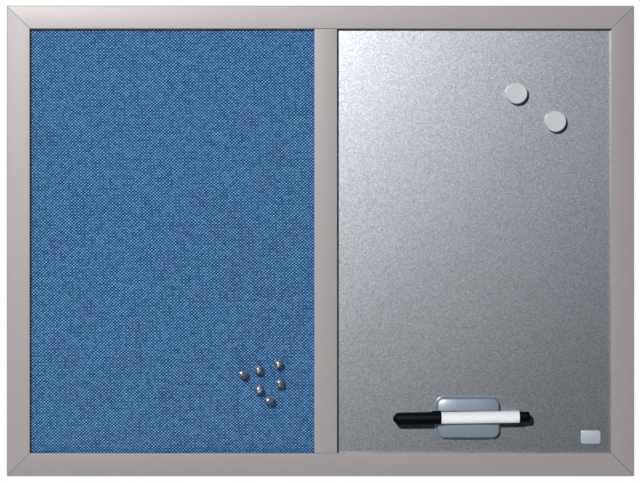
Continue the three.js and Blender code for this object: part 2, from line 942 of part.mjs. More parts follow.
// The marker lies a little askew in the trough, and turns about the trough's middle
function markerGroup() {
  const marker = new THREE.Group();
  marker.add(
    mesh("marker_cap", markerCap(), materials.black),
    mesh("marker_barrel", markerBarrel(), materials.white),
    mesh("marker_nib_holder", markerNibHolder(), materials.black),
    mesh("marker_nib", markerNib(), materials.black),
    mesh("marker_ink_reservoir", markerReservoir(), materials.fibre),
    mesh("marker_end_plug", markerEndPlug(), materials.black),
  );
  marker.position.x = -eraserWidth / 2 - markerOverhang;
  const tilted = new THREE.Group();
  tilted.add(marker);
  tilted.rotation.y = -THREE.MathUtils.degToRad(markerTiltDegrees);
  tilted.position.set(0, -markerAxisRise, markerOffset);
  return tilted;
}

// The trough is a round channel whose sides flare towards both ends and round off at its mouths
function troughWidening(x) {
  const share = Math.abs(x) / (eraserWidth / 2);
  return 1 + (troughFlare * share ** 2 + troughEndRounding * share ** (2 * cornerSteps)) / troughRadius;
}

const troughAxisRise = markerAxisRise + troughRadius - capMouthRadius - fastenerClearance;

function troughTool(radius) {
  const end = eraserWidth / 2 + cutOverrun;
  const stations = Array.from({ length: troughSteps + 1 }, (_, step) => end * ((2 * step) / troughSteps - 1));
  const profile = [[0, -end], ...stations.map((x) => [radius, x]), [0, end]];
  const tool = turnedAlongX(profile, roundSides);
  const position = tool.attributes.position;
  for (let i = 0; i < position.count; i += 1) {
    position.setZ(i, position.getZ(i) * troughWidening(position.getX(i)));
  }
  return tool.translate(0, -troughAxisRise, troughOffset);
}

// The housing's walls slope, and the lobes' faces fall away towards them
const ceiling = eraserRise - eraserWall;

function eraserHousing() {
  const edgeStart = eraserRise - eraserCrown - eraserEdgeRadius;
  const edge = quarterRound(0, edgeStart, eraserEdgeRadius, 0).map(([reach, rise]) => ({
    rise,
    inset: eraserDraft + eraserEdgeRadius - reach,
  }));
  const outside = lofted(eraserWidth, eraserHeight, eraserCornerRadius, [
    { rise: eraserFeltShows, inset: 0 },
    { rise: eraserFeltShows + eraserFootRise, inset: 0 },
    ...edge,
    { rise: eraserRise, inset: eraserDraft + eraserEdgeRadius + eraserCrownWidth },
  ]);
  const inside = lofted(eraserWidth, eraserHeight, eraserCornerRadius, [
    { rise: 0, inset: eraserWall },
    { rise: eraserFeltShows + feltThickness / 2, inset: eraserWall },
    { rise: ceiling - eraserCrown, inset: eraserDraft + eraserWall },
    { rise: ceiling, inset: eraserDraft + eraserWall + eraserCrownWidth },
  ]);
  return cut(outside, [cut(inside, [troughTool(troughRadius + troughWall)]), troughTool(troughRadius)]);
}

function eraserMagnet(side) {
  const wall = (troughRadius + troughWall) * troughWidening(eraserMagnetLength / 2);
  const inner = troughOffset + side * (wall + fastenerClearance);
  const outer = inner + side * eraserMagnetWidth;
  const slopeStart = eraserHeight / 2 - eraserDraft - eraserWall - eraserCrownWidth;
  const fall = (eraserCrown * (Math.abs(outer) - slopeStart)) / eraserCrownWidth;
  const top = ceiling - fall - 2 * seatGap;
  return block(
    [-eraserMagnetLength / 2, -top, Math.min(inner, outer)],
    [eraserMagnetLength / 2, -top + eraserMagnetThickness, Math.max(inner, outer)],
  );
}

function eraserGroup() {
  const slack = eraserWall + fastenerClearance;
  const felt = lofted(eraserWidth, eraserHeight, eraserCornerRadius, [
    { rise: seatGap, inset: slack },
    { rise: seatGap + feltThickness, inset: slack },
  ]);
  const group = new THREE.Group();
  group.add(
    mesh("eraser_housing", eraserHousing(), materials.housing),
    mesh("eraser_felt", felt, materials.felt),
    mesh("eraser_magnet_upper", eraserMagnet(1), materials.ferrite),
    mesh("eraser_magnet_lower", eraserMagnet(-1), materials.ferrite),
    markerGroup(),
  );
  group.position.copy(placeOnSteel(eraserPlaceShares)).setY(steelFront);
  return group;
}

// Everything is placed about the board's middle, which hangs below the origin
const memoBoard = new THREE.Group();
memoBoard.name = "combination_memo_board";
const aboutMiddle = new THREE.Group();
aboutMiddle.add(
  ...frameMeshes(),
  dividerBar(),
  ...panelMeshes(),
  ...fastenerMeshes(),
  ...hangerMeshes(),
  badgeMesh(),
  ...magnetPlaceShares.map(magnetGroup),
  ...pinPlaces.map(pinGroup),
  eraserGroup(),
);
aboutMiddle.position.z = -(boardHeight / 2 - railBackWidth / 2);
memoBoard.add(aboutMiddle);

export default memoBoard;
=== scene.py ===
import json
import math

import bmesh
import bpy
import numpy as np
from mathutils import Matrix, Vector

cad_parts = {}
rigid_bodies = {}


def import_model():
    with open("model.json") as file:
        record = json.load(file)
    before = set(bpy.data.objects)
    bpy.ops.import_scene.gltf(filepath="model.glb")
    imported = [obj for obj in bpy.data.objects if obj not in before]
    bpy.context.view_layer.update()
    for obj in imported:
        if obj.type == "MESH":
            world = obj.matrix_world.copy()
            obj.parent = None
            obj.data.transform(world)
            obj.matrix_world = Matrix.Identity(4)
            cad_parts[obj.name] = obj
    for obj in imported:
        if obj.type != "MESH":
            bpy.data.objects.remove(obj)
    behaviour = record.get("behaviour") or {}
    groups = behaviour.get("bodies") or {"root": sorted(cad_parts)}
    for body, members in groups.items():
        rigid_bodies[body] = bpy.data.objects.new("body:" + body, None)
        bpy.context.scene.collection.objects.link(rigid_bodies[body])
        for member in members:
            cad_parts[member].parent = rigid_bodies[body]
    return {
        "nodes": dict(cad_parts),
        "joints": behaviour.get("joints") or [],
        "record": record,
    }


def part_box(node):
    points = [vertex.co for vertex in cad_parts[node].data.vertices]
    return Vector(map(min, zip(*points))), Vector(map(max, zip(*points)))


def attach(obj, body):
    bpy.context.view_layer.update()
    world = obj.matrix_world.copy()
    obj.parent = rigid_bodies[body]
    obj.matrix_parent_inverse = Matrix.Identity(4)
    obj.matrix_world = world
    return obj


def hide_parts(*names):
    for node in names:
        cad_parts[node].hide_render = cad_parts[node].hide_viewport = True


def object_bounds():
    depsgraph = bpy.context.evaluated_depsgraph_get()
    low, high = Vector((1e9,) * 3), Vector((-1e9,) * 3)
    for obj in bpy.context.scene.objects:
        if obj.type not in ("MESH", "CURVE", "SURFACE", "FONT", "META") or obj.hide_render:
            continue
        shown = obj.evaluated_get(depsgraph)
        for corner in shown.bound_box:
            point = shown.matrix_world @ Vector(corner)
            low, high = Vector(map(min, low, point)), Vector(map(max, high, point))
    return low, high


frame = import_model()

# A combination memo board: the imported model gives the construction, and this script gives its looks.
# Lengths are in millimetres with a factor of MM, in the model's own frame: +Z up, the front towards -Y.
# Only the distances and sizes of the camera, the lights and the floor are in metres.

MM = 0.001
NODES = frame["nodes"]
SLOT_OF = {part["node"]: part["material_slot"] for part in frame["record"]["subparts"]}
AXIS_OF = {joint["child"]: Vector(joint["axis"]) for joint in frame["joints"]}

for left_over in [o for o in bpy.data.objects if o.name in ("Cube", "Light", "Camera")]:
    bpy.data.objects.remove(left_over)
cad_low, cad_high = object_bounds()

# The board's middle and its front plane
BOARD_MIDDLE = (cad_low + cad_high) / 2
FRONT_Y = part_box("frame_rail_top")[0].y
PANEL_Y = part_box("steel_sheet")[0].y

# The photograph's camera, straight in front of the board
CAMERA_DISTANCE = 2.2
SENSOR_WIDTH = 36
VIEW_WIDTH = 0.6119
CAMERA_SHIFT_X = -0.00047
CAMERA_SHIFT_Z = -0.00048
CAMERA_CLIP_START = 0.05
CAMERA_CLIP_END = 50

# Lights: a small key at the upper left, weak fills by the camera and at the right, soft ones behind
KEY_DIRECTION = Vector((-0.285, -1, 0.362)).normalized()
KEY_DISTANCE = 3.0
KEY_SIZE = 0.27
KEY_POWER = 85
FILL_DIRECTION = Vector((-0.02, -1, -0.02)).normalized()
FILL_DISTANCE = 2.2
FILL_SIZE = 0.3
FILL_POWER = 0.13
SIDE_DIRECTION = Vector((0.4, -1, 0.1)).normalized()
SIDE_DISTANCE = 2.2
SIDE_SIZE = 0.5
SIDE_POWER = 0.18
SIDE_COLOUR = (0.4, 0.6, 1.0)
BACK_DISTANCE = 1.6
BACK_SIZE = 1.2
BACK_POWER = 22
BACK_SIDEWAYS = 0.9
BACK_UPWARDS = 0.55
FLOOR_DROP = 0.62
FLOOR_RADIUS = 2.6

# Round shapes
LATHE_STEPS = 96
SMALL_LATHE_STEPS = 48
ARC_STEPS = 8
SHARP_ANGLE = math.radians(32)
WELD_DISTANCE = 0.002 * MM

# The round magnets
MAGNET_EDGE = 0.8
MAGNET_FOOT_EDGE = 0.25
MAGNET_CORE_CLEARANCE = 0.3
MAGNET_FACE_DISH = 0.12

# The push pins' heads, from the flange up
PIN_FLANGE_EDGE = 0.7
PIN_HEAD_STEP = 0.2
PIN_WAIST_RADIUS = 2.4
PIN_WAIST_LOW = 2.8
PIN_WAIST_HIGH = 6.9
PIN_WAIST_FLARE_LOW = 1.3
PIN_WAIST_FLARE_HIGH = 1.1
PIN_WAIST_FLARE_POWER = 3
PIN_HEAD_FOOT = 8.1
PIN_HEAD_EDGE = 0.9
PIN_HEAD_UNDERSIDE = 0.2
PIN_FLANGE_ARC = (-70, 75)
PIN_HEAD_FOOT_ARC = (-60, 0)
PIN_HEAD_TOP_ARC = (0, 80)
PIN_CROWN = 0.5
PIN_NEEDLE_POINT = 2.2

# The marker
CAP_WALL = 1.0
CAP_TIP_RADIUS = 2.2
CAP_TIP_LENGTH = 3.8
CAP_TIP_STEP = 0.5
CAP_END_RADIUS = 5.75
CAP_MOUTH_RADIUS = 6.0
CAP_MOUTH_EDGE = 0.3
CAP_GROOVE_SETBACK = 1.1
CAP_GROOVE_WIDTH = 0.35
CAP_GROOVE_DEPTH = 0.22
CAP_BORE_RADIUS = 4.9
CAP_BORE_LENGTH = 13
CAP_NUB_LENGTH = 8.6
CAP_NUB_WIDTH = 3.2
CAP_NUB_RISE = 0.35
CAP_NUB_EDGE = 0.4
CAP_NUB_EDGE_STEPS = 4
ROUND_BEVEL = 0.5
BARREL_EDGE = 0.25
BARREL_WALL = 1.2
NECK_RADIUS = 4.6
NECK_LENGTH = 13
NECK_WALL = 1.2
NECK_MOUTH_RADIUS = 2.9
NECK_RIB_RISE = 0.2
NECK_RIB_WIDTH = 0.8
NECK_RIB_PLACES = (3, 9)
PLUG_SPIGOT = 6
PLUG_SPIGOT_CLEARANCE = 0.3
PLUG_COLLAR = 1.1
PLUG_RADIUS = 4.87
PLUG_END_RADIUS = 3.4
PLUG_SHOULDER = 3.2
PLUG_SHOULDER_TURN = 75
PLUG_END_ARC = (30, 90)
PLUG_EDGE = 0.3
PLUG_GROOVE_SETBACK = 4.6
PLUG_GROOVE_WIDTH = 0.7
PLUG_GROOVE_DEPTH = 0.35

# The eraser's housing: its skirt is (inset, rise) pairs from the face's edge down, drawn in further at the
# right and at the bottom by the skirt's shift
HOUSING_CORNER = 9
HOUSING_FOOT_LOW = 1.2
HOUSING_SKIRT = ((1.75, 2.8), (1.5, 2.1), (1.1, 1.7), (0.5, 1.47), (0.15, 1.4), (0, 1.3))
HOUSING_SKIRT_SHIFT = (1.2, 0.7)
HOUSING_DRAFT = 2.8
HOUSING_WALL_LEAN = 75
HOUSING_EDGE = 0.6
HOUSING_FACE_INSET = HOUSING_DRAFT + HOUSING_EDGE
HOUSING_WALL = 1.6
HOUSING_POCKET = 3.0
HOUSING_POCKET_HIGH = 2.3
FELT_SHRINK = 1.2
FACE_END_DROP = 2.5
FACE_END_POWER = 3
FACE_SIDE_DROP = 2.4
FACE_SIDE_POWER = 2.5
TROUGH_OFFSET = 0.71
TROUGH_AXIS_RISE = 11.5
TROUGH_RADIUS = 6.6
TROUGH_FLARE = 1.0
TROUGH_END_ROUNDING = 2.2
TROUGH_END_POWER = 8
TROUGH_LIP_BLEND = 0.25
HOUSING_STATIONS = 64
HOUSING_CORNER_STEPS = 10
TROUGH_NODES = 12
LIP_NODES = 8
LOBE_NODES = 16
LIP_HALF_WIDTH = 1.0

# The cloth, the felt and the badge
CLOTH_CELL = 4.0
CLOTH_SLACK = 0.05
CLOTH_EDGE = 0.3
CLOTH_WRINKLE = 0.04
CLOTH_RIPPLE_WIDTH = 37
CLOTH_RIPPLE_HEIGHT = 53
CLOTH_RIPPLE_SHIFT_X = 0.7
CLOTH_RIPPLE_SHIFT_Z = 0.4
CLOTH_SAG_WIDTH = 90
CLOTH_SAG_HEIGHT = 21
FELT_EDGE = 0.6
BADGE_CORNER = 2.5
BADGE_EDGE = 0.45

# Where the Mix node keeps its factor and its two colours, and where the mixed one comes out
MIX_COLOUR_INPUTS = (0, 6, 7)
MIX_COLOUR_OUTPUT = 2


class Finish:
    """A procedural material: one Principled shader and the nodes that feed it."""

    def __init__(self, name, **sockets):
        self.material = bpy.data.materials.new(name)
        self.material.use_nodes = True
        self.tree = self.material.node_tree
        self.shader = self.tree.nodes["Principled BSDF"]
        for socket, value in sockets.items():
            self.set(socket.replace("_", " "), value)

    def set(self, socket, value):
        """Gives a socket of the shader a value of its own, or links it to another node's output."""
        wanted = {name.lower(): name for name in self.shader.inputs.keys()}[socket.lower()]
        self.feed(self.shader.inputs[wanted], value)

    def feed(self, target, value):
        """Links a node's output to a socket, or sets the socket's own value."""
        if isinstance(value, bpy.types.NodeSocket):
            self.tree.links.new(value, target)
        elif target.type == "RGBA" and len(value) == 3:
            target.default_value = (*value, 1)
        else:
            target.default_value = value

    def node(self, kind, inputs=(), **settings):
        """A new node with its settings and its first inputs."""
        made = self.tree.nodes.new("ShaderNode" + kind)
        for name, value in settings.items():
            setattr(made, name, value)
        for place, value in enumerate(inputs):
            if value is not None:
                self.feed(made.inputs[place], value)
        return made

    def place(self, stretch=(1, 1, 1)):
        """The object's own coordinates in millimetres, each divided by its stretch."""
        coordinates = self.node("TexCoord").outputs["Object"]
        scale = tuple(1 / (MM * share) for share in stretch)
        return self.node("VectorMath", [coordinates, scale], operation="MULTIPLY").outputs[0]

    def split(self, vector):
        """A vector's three numbers."""
        return self.node("SeparateXYZ", [vector]).outputs

    def maths(self, operation, first, second=0.0, third=None):
        """What an operation such as ADD or SINE makes of up to three values."""
        return self.node("Math", [first, second, third], operation=operation).outputs[0]

    def noise(self, size, detail=2.0, stretch=(1, 1, 1), roughness=0.5):
        """Smooth noise from 0 to 1 whose features are about as large as size, in millimetres."""
        made = self.node("TexNoise", noise_dimensions="3D")
        self.feed(made.inputs["Vector"], self.place(stretch))
        made.inputs["Scale"].default_value = 1 / size
        made.inputs["Detail"].default_value = detail
        made.inputs["Roughness"].default_value = roughness
        return made.outputs[0]

    def cells(self, size, stretch=(1, 1, 1)):
        """A random value from 0 to 1 for each irregular cell of about that size, in millimetres."""
        made = self.node("TexVoronoi", feature="F1", voronoi_dimensions="3D")
        self.feed(made.inputs["Vector"], self.place(stretch))
        made.inputs["Scale"].default_value = 1 / size
        return self.split(made.outputs["Color"])[0]

    def remap(self, value, low=0.0, high=1.0, from_low=0.0, from_high=1.0):
        """Takes a value from one range to another and holds it there."""
        made = self.node("MapRange")
        self.feed(made.inputs["Value"], value)
        limits = {"From Min": from_low, "From Max": from_high, "To Min": low, "To Max": high}
        for name, number in limits.items():
            made.inputs[name].default_value = number
        return made.outputs[0]

    def around(self, value, middle, spread):
        """Takes a value from 0 to 1 to a range that reaches as far below a middle as above it."""
        return self.remap(value, middle - spread, middle + spread)

    def mix(self, factor, first, second):
        """A colour between two others."""
        made = self.node("Mix", data_type="RGBA")
        for place, value in zip(MIX_COLOUR_INPUTS, (factor, first, second)):
            self.feed(made.inputs[place], value)
        return made.outputs[MIX_COLOUR_OUTPUT]

    def shade(self, colour, value):
        """A colour whose brightness follows a node's value."""
        made = self.node("VectorMath", operation="SCALE")
        self.feed(made.inputs[0], colour)
        self.feed(made.inputs["Scale"], value)
        return made.outputs[0]

    def bump(self, height, depth, strength=1.0):
        """Relief of that depth in millimetres, from a height of 0 to 1."""
        made = self.node("Bump")
        made.inputs["Strength"].default_value = strength
        made.inputs["Distance"].default_value = depth * MM
        self.feed(made.inputs["Height"], height)
        self.set("Normal", made.outputs[0])


# The finishes' colours, in linear light
LACQUER = (0.31, 0.283, 0.279)
FIBREBOARD_DARK = (0.36, 0.25, 0.16)
FIBREBOARD_LIGHT = (0.5, 0.37, 0.25)
# The cloth's dark colour holds painted shade for the weave's gaps and its bright one a painted sheen for the
# floats, besides the yarns' own colours
CLOTH_DARK_YARN_AND_GAP_SHADE = (0.0006, 0.023, 0.096)
CLOTH_BRIGHT_YARN_AND_FLOAT_SHEEN = (0.135, 0.345, 0.61)
SOFTBOARD_DARK = (0.28, 0.18, 0.09)
SOFTBOARD_LIGHT = (0.46, 0.33, 0.19)
HARDBOARD_DARK = (0.12, 0.065, 0.035)
HARDBOARD_LIGHT = (0.24, 0.14, 0.08)
BEECH_DARK = (0.45, 0.29, 0.15)
BEECH_LIGHT = (0.66, 0.49, 0.3)
SHEET_SILVER = (0.462, 0.484, 0.518)
ZINC = (0.56, 0.57, 0.58)
NEEDLE_SILVER = (0.66, 0.67, 0.69)
BADGE_SILVER = (0.48, 0.54, 0.61)
MAGNET_GREY = (0.465, 0.495, 0.513)
FERRITE_GREY = (0.04, 0.04, 0.045)
PIN_GREY = (0.46, 0.5, 0.54)
MARKER_BLACK = (0.002, 0.0022, 0.003)
MARKER_BLACK_GLOSS = (0.7, 0.8, 1.0)
MARKER_WHITE = (0.79, 0.8, 0.83)
INK_BLACK = (0.02, 0.02, 0.025)
HOUSING_BLUE_GREY = (0.2, 0.247, 0.295)
FELT_GREY = (0.03, 0.032, 0.036)
FLOOR_PALE = (0.8, 0.8, 0.8)

# How much the gloss of plated steel varies, and that of plastic as a share of its roughness
PLATE_UNEVEN = 0.06
MOULDED_UNEVEN_SHARE = 0.1

# The weave: the pitch of its threads, how much they lean from square, and how its yarn colours, painted shade
# and painted sheen are shared out
WARP_PITCH = 1.64
WEFT_PITCH = 1.527
WARP_LEAN = 0.036
WEFT_LEAN = -0.0216
CLOTH_LIGHT = 0.41
CLOTH_CONTRAST = 0.82
CLOTH_ROWS = 0.22
CLOTH_UNEVEN = 0.2
CLOTH_STREAKS = 0.12
CLOTH_SKEW = 1.7


def frame_lacquer():
    """Warm grey satin lacquer on fibreboard, whose bare back shows the board."""
    finish = Finish("frame_finish", metallic=0.09)
    speckle = finish.around(finish.cells(size=0.7), middle=1, spread=0.025)
    clouds = finish.around(finish.noise(size=9, detail=3), middle=0, spread=0.03)
    lacquer = finish.shade(LACQUER, finish.maths("ADD", speckle, clouds))
    fibres = finish.noise(size=1.6, detail=4, stretch=(3, 1, 1))
    fibres = finish.remap(fibres, from_low=0.3, from_high=0.7)
    bare = finish.mix(fibres, FIBREBOARD_DARK, FIBREBOARD_LIGHT)
    normal = finish.split(finish.node("NewGeometry").outputs["Normal"])
    back = finish.remap(normal[1], from_low=0.6, from_high=0.9)
    finish.set("Base Color", finish.mix(back, lacquer, bare))
    finish.set("Roughness", finish.remap(finish.noise(size=2.5, detail=3), low=0.4, high=0.45))
    finish.bump(finish.noise(size=0.9, detail=3), depth=0.015)
    return finish.material


def woven_cloth():
    """Plain-woven heathered cloth: bright floats between dark gaps, uneven from thread to thread; the gaps'
    darkness is painted shade and the floats' brightness partly a painted sheen, besides the two yarns' own
    colours.
    """
    finish = Finish(
        "board_fabric",
        roughness=0.9,
        specular_ior_level=0.2,
        sheen_weight=0.05,
        sheen_roughness=0.4,
    )
    x, _, z = finish.split(finish.place())
    warp = finish.maths("DIVIDE", finish.maths("MULTIPLY_ADD", z, WARP_LEAN, x), WARP_PITCH)
    weft = finish.maths("DIVIDE", finish.maths("MULTIPLY_ADD", x, WEFT_LEAN, z), WEFT_PITCH)
    across = finish.maths("SINE", finish.maths("MULTIPLY", warp, math.pi))
    up = finish.maths("SINE", finish.maths("MULTIPLY", weft, math.pi))
    crossing = finish.maths("MULTIPLY", across, up)
    rows = finish.maths("MULTIPLY", up, finish.maths("ABSOLUTE", across))
    cell = [finish.maths("FLOOR", warp), finish.maths("FLOOR", weft), 0.0]
    stitch = finish.node("TexWhiteNoise", noise_dimensions="3D")
    finish.feed(stitch.inputs["Vector"], finish.node("CombineXYZ", cell).outputs[0])
    uneven = finish.around(stitch.outputs["Value"], middle=0, spread=CLOTH_UNEVEN)
    streaks = finish.noise(size=3.2, detail=3, stretch=(2.6, 1, 1))
    streaks = finish.around(streaks, middle=0, spread=CLOTH_STREAKS)
    light = finish.maths("MULTIPLY_ADD", crossing, CLOTH_CONTRAST, CLOTH_LIGHT)
    light = finish.maths("MULTIPLY_ADD", rows, CLOTH_ROWS, light)
    light = finish.maths("ADD", light, finish.maths("ADD", uneven, streaks))
    light = finish.maths("POWER", finish.maths("MAXIMUM", light, 0.0), CLOTH_SKEW)
    # Painted shade and sheen: the mix darkens the weave's gaps and brightens its floats, as well as giving
    # the two yarns' colours
    finish.set("Base Color", finish.mix(light, CLOTH_DARK_YARN_AND_GAP_SHADE, CLOTH_BRIGHT_YARN_AND_FLOAT_SHEEN))
    finish.bump(finish.remap(crossing, from_low=-1, from_high=1), depth=0.2, strength=0.5)
    return finish.material


def pressed_fibre(name, dark, light, size, stretch, depth):
    """Pressed wood fibre, such as softboard or hardboard."""
    finish = Finish(name, roughness=0.9)
    fibres = finish.noise(size, detail=5, stretch=stretch, roughness=0.65)
    flecks = finish.around(finish.cells(size / 2, stretch), middle=0, spread=0.12)
    value = finish.maths("ADD", finish.remap(fibres, from_low=0.25, from_high=0.75), flecks)
    finish.set("Base Color", finish.mix(value, dark, light))
    finish.bump(fibres, depth)
    return finish.material


def lacquered_steel():
    """Silver lacquer over steel: a broad soft gloss, and fine glints painted into its colour cell by cell."""
    finish = Finish("lacquered_steel", metallic=1.0)
    clouds = finish.around(finish.noise(size=30), middle=1, spread=0.015)
    # Painted glints: each small cell is brighter or darker at random, standing in for flakes that catch the
    # lamp
    painted_flake_glint = finish.around(finish.cells(size=0.45), middle=1, spread=0.45)
    finish.set("Base Color", finish.shade(SHEET_SILVER, finish.maths("MULTIPLY", painted_flake_glint, clouds)))
    finish.set("Roughness", finish.remap(finish.noise(size=1.2), low=0.345, high=0.37))
    finish.bump(finish.noise(size=0.8), depth=0.02)
    return finish.material


def plated_steel(name, colour, roughness, cloud_size):
    """Plated or polished steel with a slight cloudiness."""
    finish = Finish(name, metallic=1.0)
    clouds = finish.noise(cloud_size, detail=4)
    finish.set("Base Color", finish.shade(colour, finish.remap(clouds, low=0.88, high=1.1)))
    finish.set("Roughness", finish.remap(clouds, roughness + PLATE_UNEVEN, roughness - PLATE_UNEVEN))
    return finish.material


def beech():
    """Beech with its grain upright."""
    finish = Finish("beech", roughness=0.7)
    grain = finish.noise(size=0.8, detail=4, stretch=(1, 1, 9))
    finish.set("Base Color", finish.mix(grain, BEECH_DARK, BEECH_LIGHT))
    finish.bump(grain, depth=0.05)
    return finish.material


def brushed_badge():
    """Satin metal, brushed along its length."""
    finish = Finish("badge_metal", metallic=0.35)
    brushing = finish.noise(size=0.35, detail=3, stretch=(24, 1, 1))
    colour = finish.shade(BADGE_SILVER, finish.around(brushing, middle=1, spread=0.1))
    finish.set("Base Color", colour)
    finish.set("Roughness", finish.remap(brushing, low=0.3, high=0.42))
    finish.bump(brushing, depth=0.01)
    return finish.material


def moulded(name, colour, roughness, texture_size, texture_depth, **sockets):
    """Moulded plastic: a faint uneven gloss and a texture of its own scale."""
    finish = Finish(name, **sockets)
    flow = finish.around(finish.noise(size=6), middle=1, spread=0.03)
    finish.set("Base Color", finish.shade(colour, flow))
    gloss = finish.noise(size=3, detail=3)
    finish.set("Roughness", finish.around(gloss, roughness, roughness * MOULDED_UNEVEN_SHARE))
    finish.bump(finish.noise(texture_size), texture_depth)
    return finish.material


def ferrite():
    """Sintered ferrite, nearly black and grainy."""
    finish = Finish("ferrite", roughness=0.6)
    grains = finish.cells(size=0.4)
    finish.set("Base Color", finish.shade(FERRITE_GREY, finish.remap(grains, low=0.8, high=1.3)))
    finish.bump(grains, depth=0.02)
    return finish.material


def clear_plastic():
    """Greyish clear styrene, cloudy inside and polished outside."""
    finish = Finish(
        "clear_plastic",
        roughness=0.4,
        ior=1.45,
        transmission_weight=0.92,
        coat_weight=1.0,
        coat_roughness=0.1,
    )
    ripple = finish.noise(size=2.5, detail=1)
    colour = finish.shade(PIN_GREY, finish.around(ripple, middle=1, spread=0.02))
    finish.set("Base Color", colour)
    finish.bump(ripple, depth=0.01)
    return finish.material


def fibrous(name, colour, grain_size, depth):
    """A matted fibre surface, for felt and for ink-soaked fibre."""
    finish = Finish(name, roughness=0.95, sheen_weight=0.4, sheen_roughness=0.5)
    fuzz = finish.noise(grain_size, detail=5, roughness=0.7)
    value = finish.remap(fuzz, low=0.5, high=1.6, from_low=0.25, from_high=0.75)
    finish.set("Base Color", finish.shade(colour, value))
    finish.bump(fuzz, depth)
    return finish.material


FINISHES = {
    "frame_finish": frame_lacquer(),
    "board_fabric": woven_cloth(),
    "softboard": pressed_fibre(
        "softboard",
        SOFTBOARD_DARK,
        SOFTBOARD_LIGHT,
        size=1.4,
        stretch=(2, 1, 2),
        depth=0.15,
    ),
    "lacquered_steel": lacquered_steel(),
    "hardboard": pressed_fibre(
        "hardboard",
        HARDBOARD_DARK,
        HARDBOARD_LIGHT,
        size=0.9,
        stretch=(2.5, 1, 1),
        depth=0.04,
    ),
    "zinc_steel": plated_steel("zinc_steel", ZINC, roughness=0.36, cloud_size=2.5),
    "beech": beech(),
    "badge_metal": brushed_badge(),
    "magnet_plastic": moulded(
        "magnet_plastic",
        MAGNET_GREY,
        roughness=0.42,
        texture_size=0.6,
        texture_depth=0.006,
    ),
    "ferrite": ferrite(),
    "clear_plastic": clear_plastic(),
    "needle_steel": plated_steel("needle_steel", NEEDLE_SILVER, roughness=0.18, cloud_size=1.2),
    "black_plastic": moulded(
        "black_plastic",
        MARKER_BLACK,
        roughness=0.55,
        texture_size=0.35,
        texture_depth=0.008,
        specular_ior_level=0.12,
        specular_tint=MARKER_BLACK_GLOSS,
    ),
    "white_plastic": moulded(
        "white_plastic",
        MARKER_WHITE,
        roughness=0.22,
        texture_size=1.5,
        texture_depth=0.004,
    ),
    "ink_fibre": fibrous("ink_fibre", INK_BLACK, grain_size=0.3, depth=0.04),
    "housing_plastic": moulded(
        "housing_plastic",
        HOUSING_BLUE_GREY,
        roughness=0.45,
        texture_size=3.0,
        texture_depth=0.006,
        metallic=0.15,
        coat_weight=1.0,
        coat_roughness=0.22,
    ),
    "felt": fibrous("felt", FELT_GREY, grain_size=0.5, depth=0.12),
}


def mesh_piece(name, points, faces, slot, body, stands_for):
    """A closed mesh as a new piece that rides on a body and stands for model nodes."""
    data = bpy.data.meshes.new(name)
    data.from_pydata([tuple(point) for point in points], [], [tuple(face) for face in faces])
    made = bpy.data.objects.new(name, data)
    bpy.context.scene.collection.objects.link(made)
    work = bmesh.new()
    work.from_mesh(data)
    bmesh.ops.recalc_face_normals(work, faces=work.faces)
    work.to_mesh(data)
    work.free()
    dress(made, slot)
    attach(made, body)
    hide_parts(*stands_for)
    return made


def dress(piece, slot):
    """Smooth shading with crisp creases, and the slot's finish."""
    piece.data.materials.clear()
    piece.data.materials.append(FINISHES[slot])
    piece.data.shade_smooth()
    piece.data.set_sharp_from_angle(angle=SHARP_ANGLE)


def arc(centre, radius, from_degrees, to_degrees, steps=ARC_STEPS):
    """Points of an arc as (radius, height) pairs."""
    angles = np.radians(np.linspace(from_degrees, to_degrees, steps + 1))
    return [(centre[0] + radius * math.cos(a), centre[1] + radius * math.sin(a)) for a in angles]


def turned(profile, matrix, steps, ring=False):
    """Points and faces of a solid turned about the matrix's +Z, from (radius, height) in millimetres."""
    points, rows, faces = [], [], []
    for radius, height in profile:
        count = 1 if radius == 0 else steps
        rows.append([len(points) + i for i in range(count)])
        for i in range(count):
            angle = 2 * math.pi * i / steps
            place = Vector((radius * math.cos(angle), radius * math.sin(angle), height)) * MM
            points.append(matrix @ place)
    pairs = list(zip(rows, rows[1:])) + ([(rows[-1], rows[0])] if ring else [])
    for low, high in pairs:
        for i in range(steps):
            j = (i + 1) % steps
            corners = [low[i % len(low)], low[j % len(low)], high[j % len(high)], high[i % len(high)]]
            faces.append(list(dict.fromkeys(corners)))
    return points, faces


def turn_towards(axis):
    """The rotation that takes +Z to an axis."""
    return axis.normalized().to_track_quat("Z", "Y").to_matrix()


def line_of(node, axis):
    """A matrix whose +Z runs along a turned node's axis from its near end, and the node's length in mm."""
    turn = turn_towards(axis)
    points = np.array([v.co for v in NODES[node].data.vertices]) @ np.array(turn)
    low, high = points.min(0), points.max(0)
    start = turn @ Vector(((low[0] + high[0]) / 2, (low[1] + high[1]) / 2, low[2]))
    return Matrix.Translation(start) @ turn.to_4x4(), (high[2] - low[2]) / MM


def span_of(node, matrix):
    """How far along the matrix's +Z a node starts and ends, in mm."""
    inverse = matrix.inverted()
    along = [(inverse @ v.co).z / MM for v in NODES[node].data.vertices]
    return min(along), max(along)


def widest(node, matrix):
    """A node's largest distance from the matrix's Z line, in mm."""
    inverse = matrix.inverted()
    return max((inverse @ v.co).xy.length for v in NODES[node].data.vertices) / MM


def dress_model_nodes():
    """The model's own nodes keep their shape, and get a finish and smooth round edges."""
    for name, node in NODES.items():
        data = node.data
        custom = data.attributes.get("custom_normal")
        if custom:
            data.attributes.remove(custom)
        data.materials.clear()
        data.materials.append(FINISHES[SLOT_OF[name]])
        data.polygons.foreach_set("use_smooth", [True] * len(data.polygons))
        weld = node.modifiers.new("weld", "WELD")
        weld.merge_threshold = WELD_DISTANCE
        crease = node.modifiers.new("crease", "EDGE_SPLIT")
        crease.split_angle = SHARP_ANGLE
        crease.use_edge_sharp = False


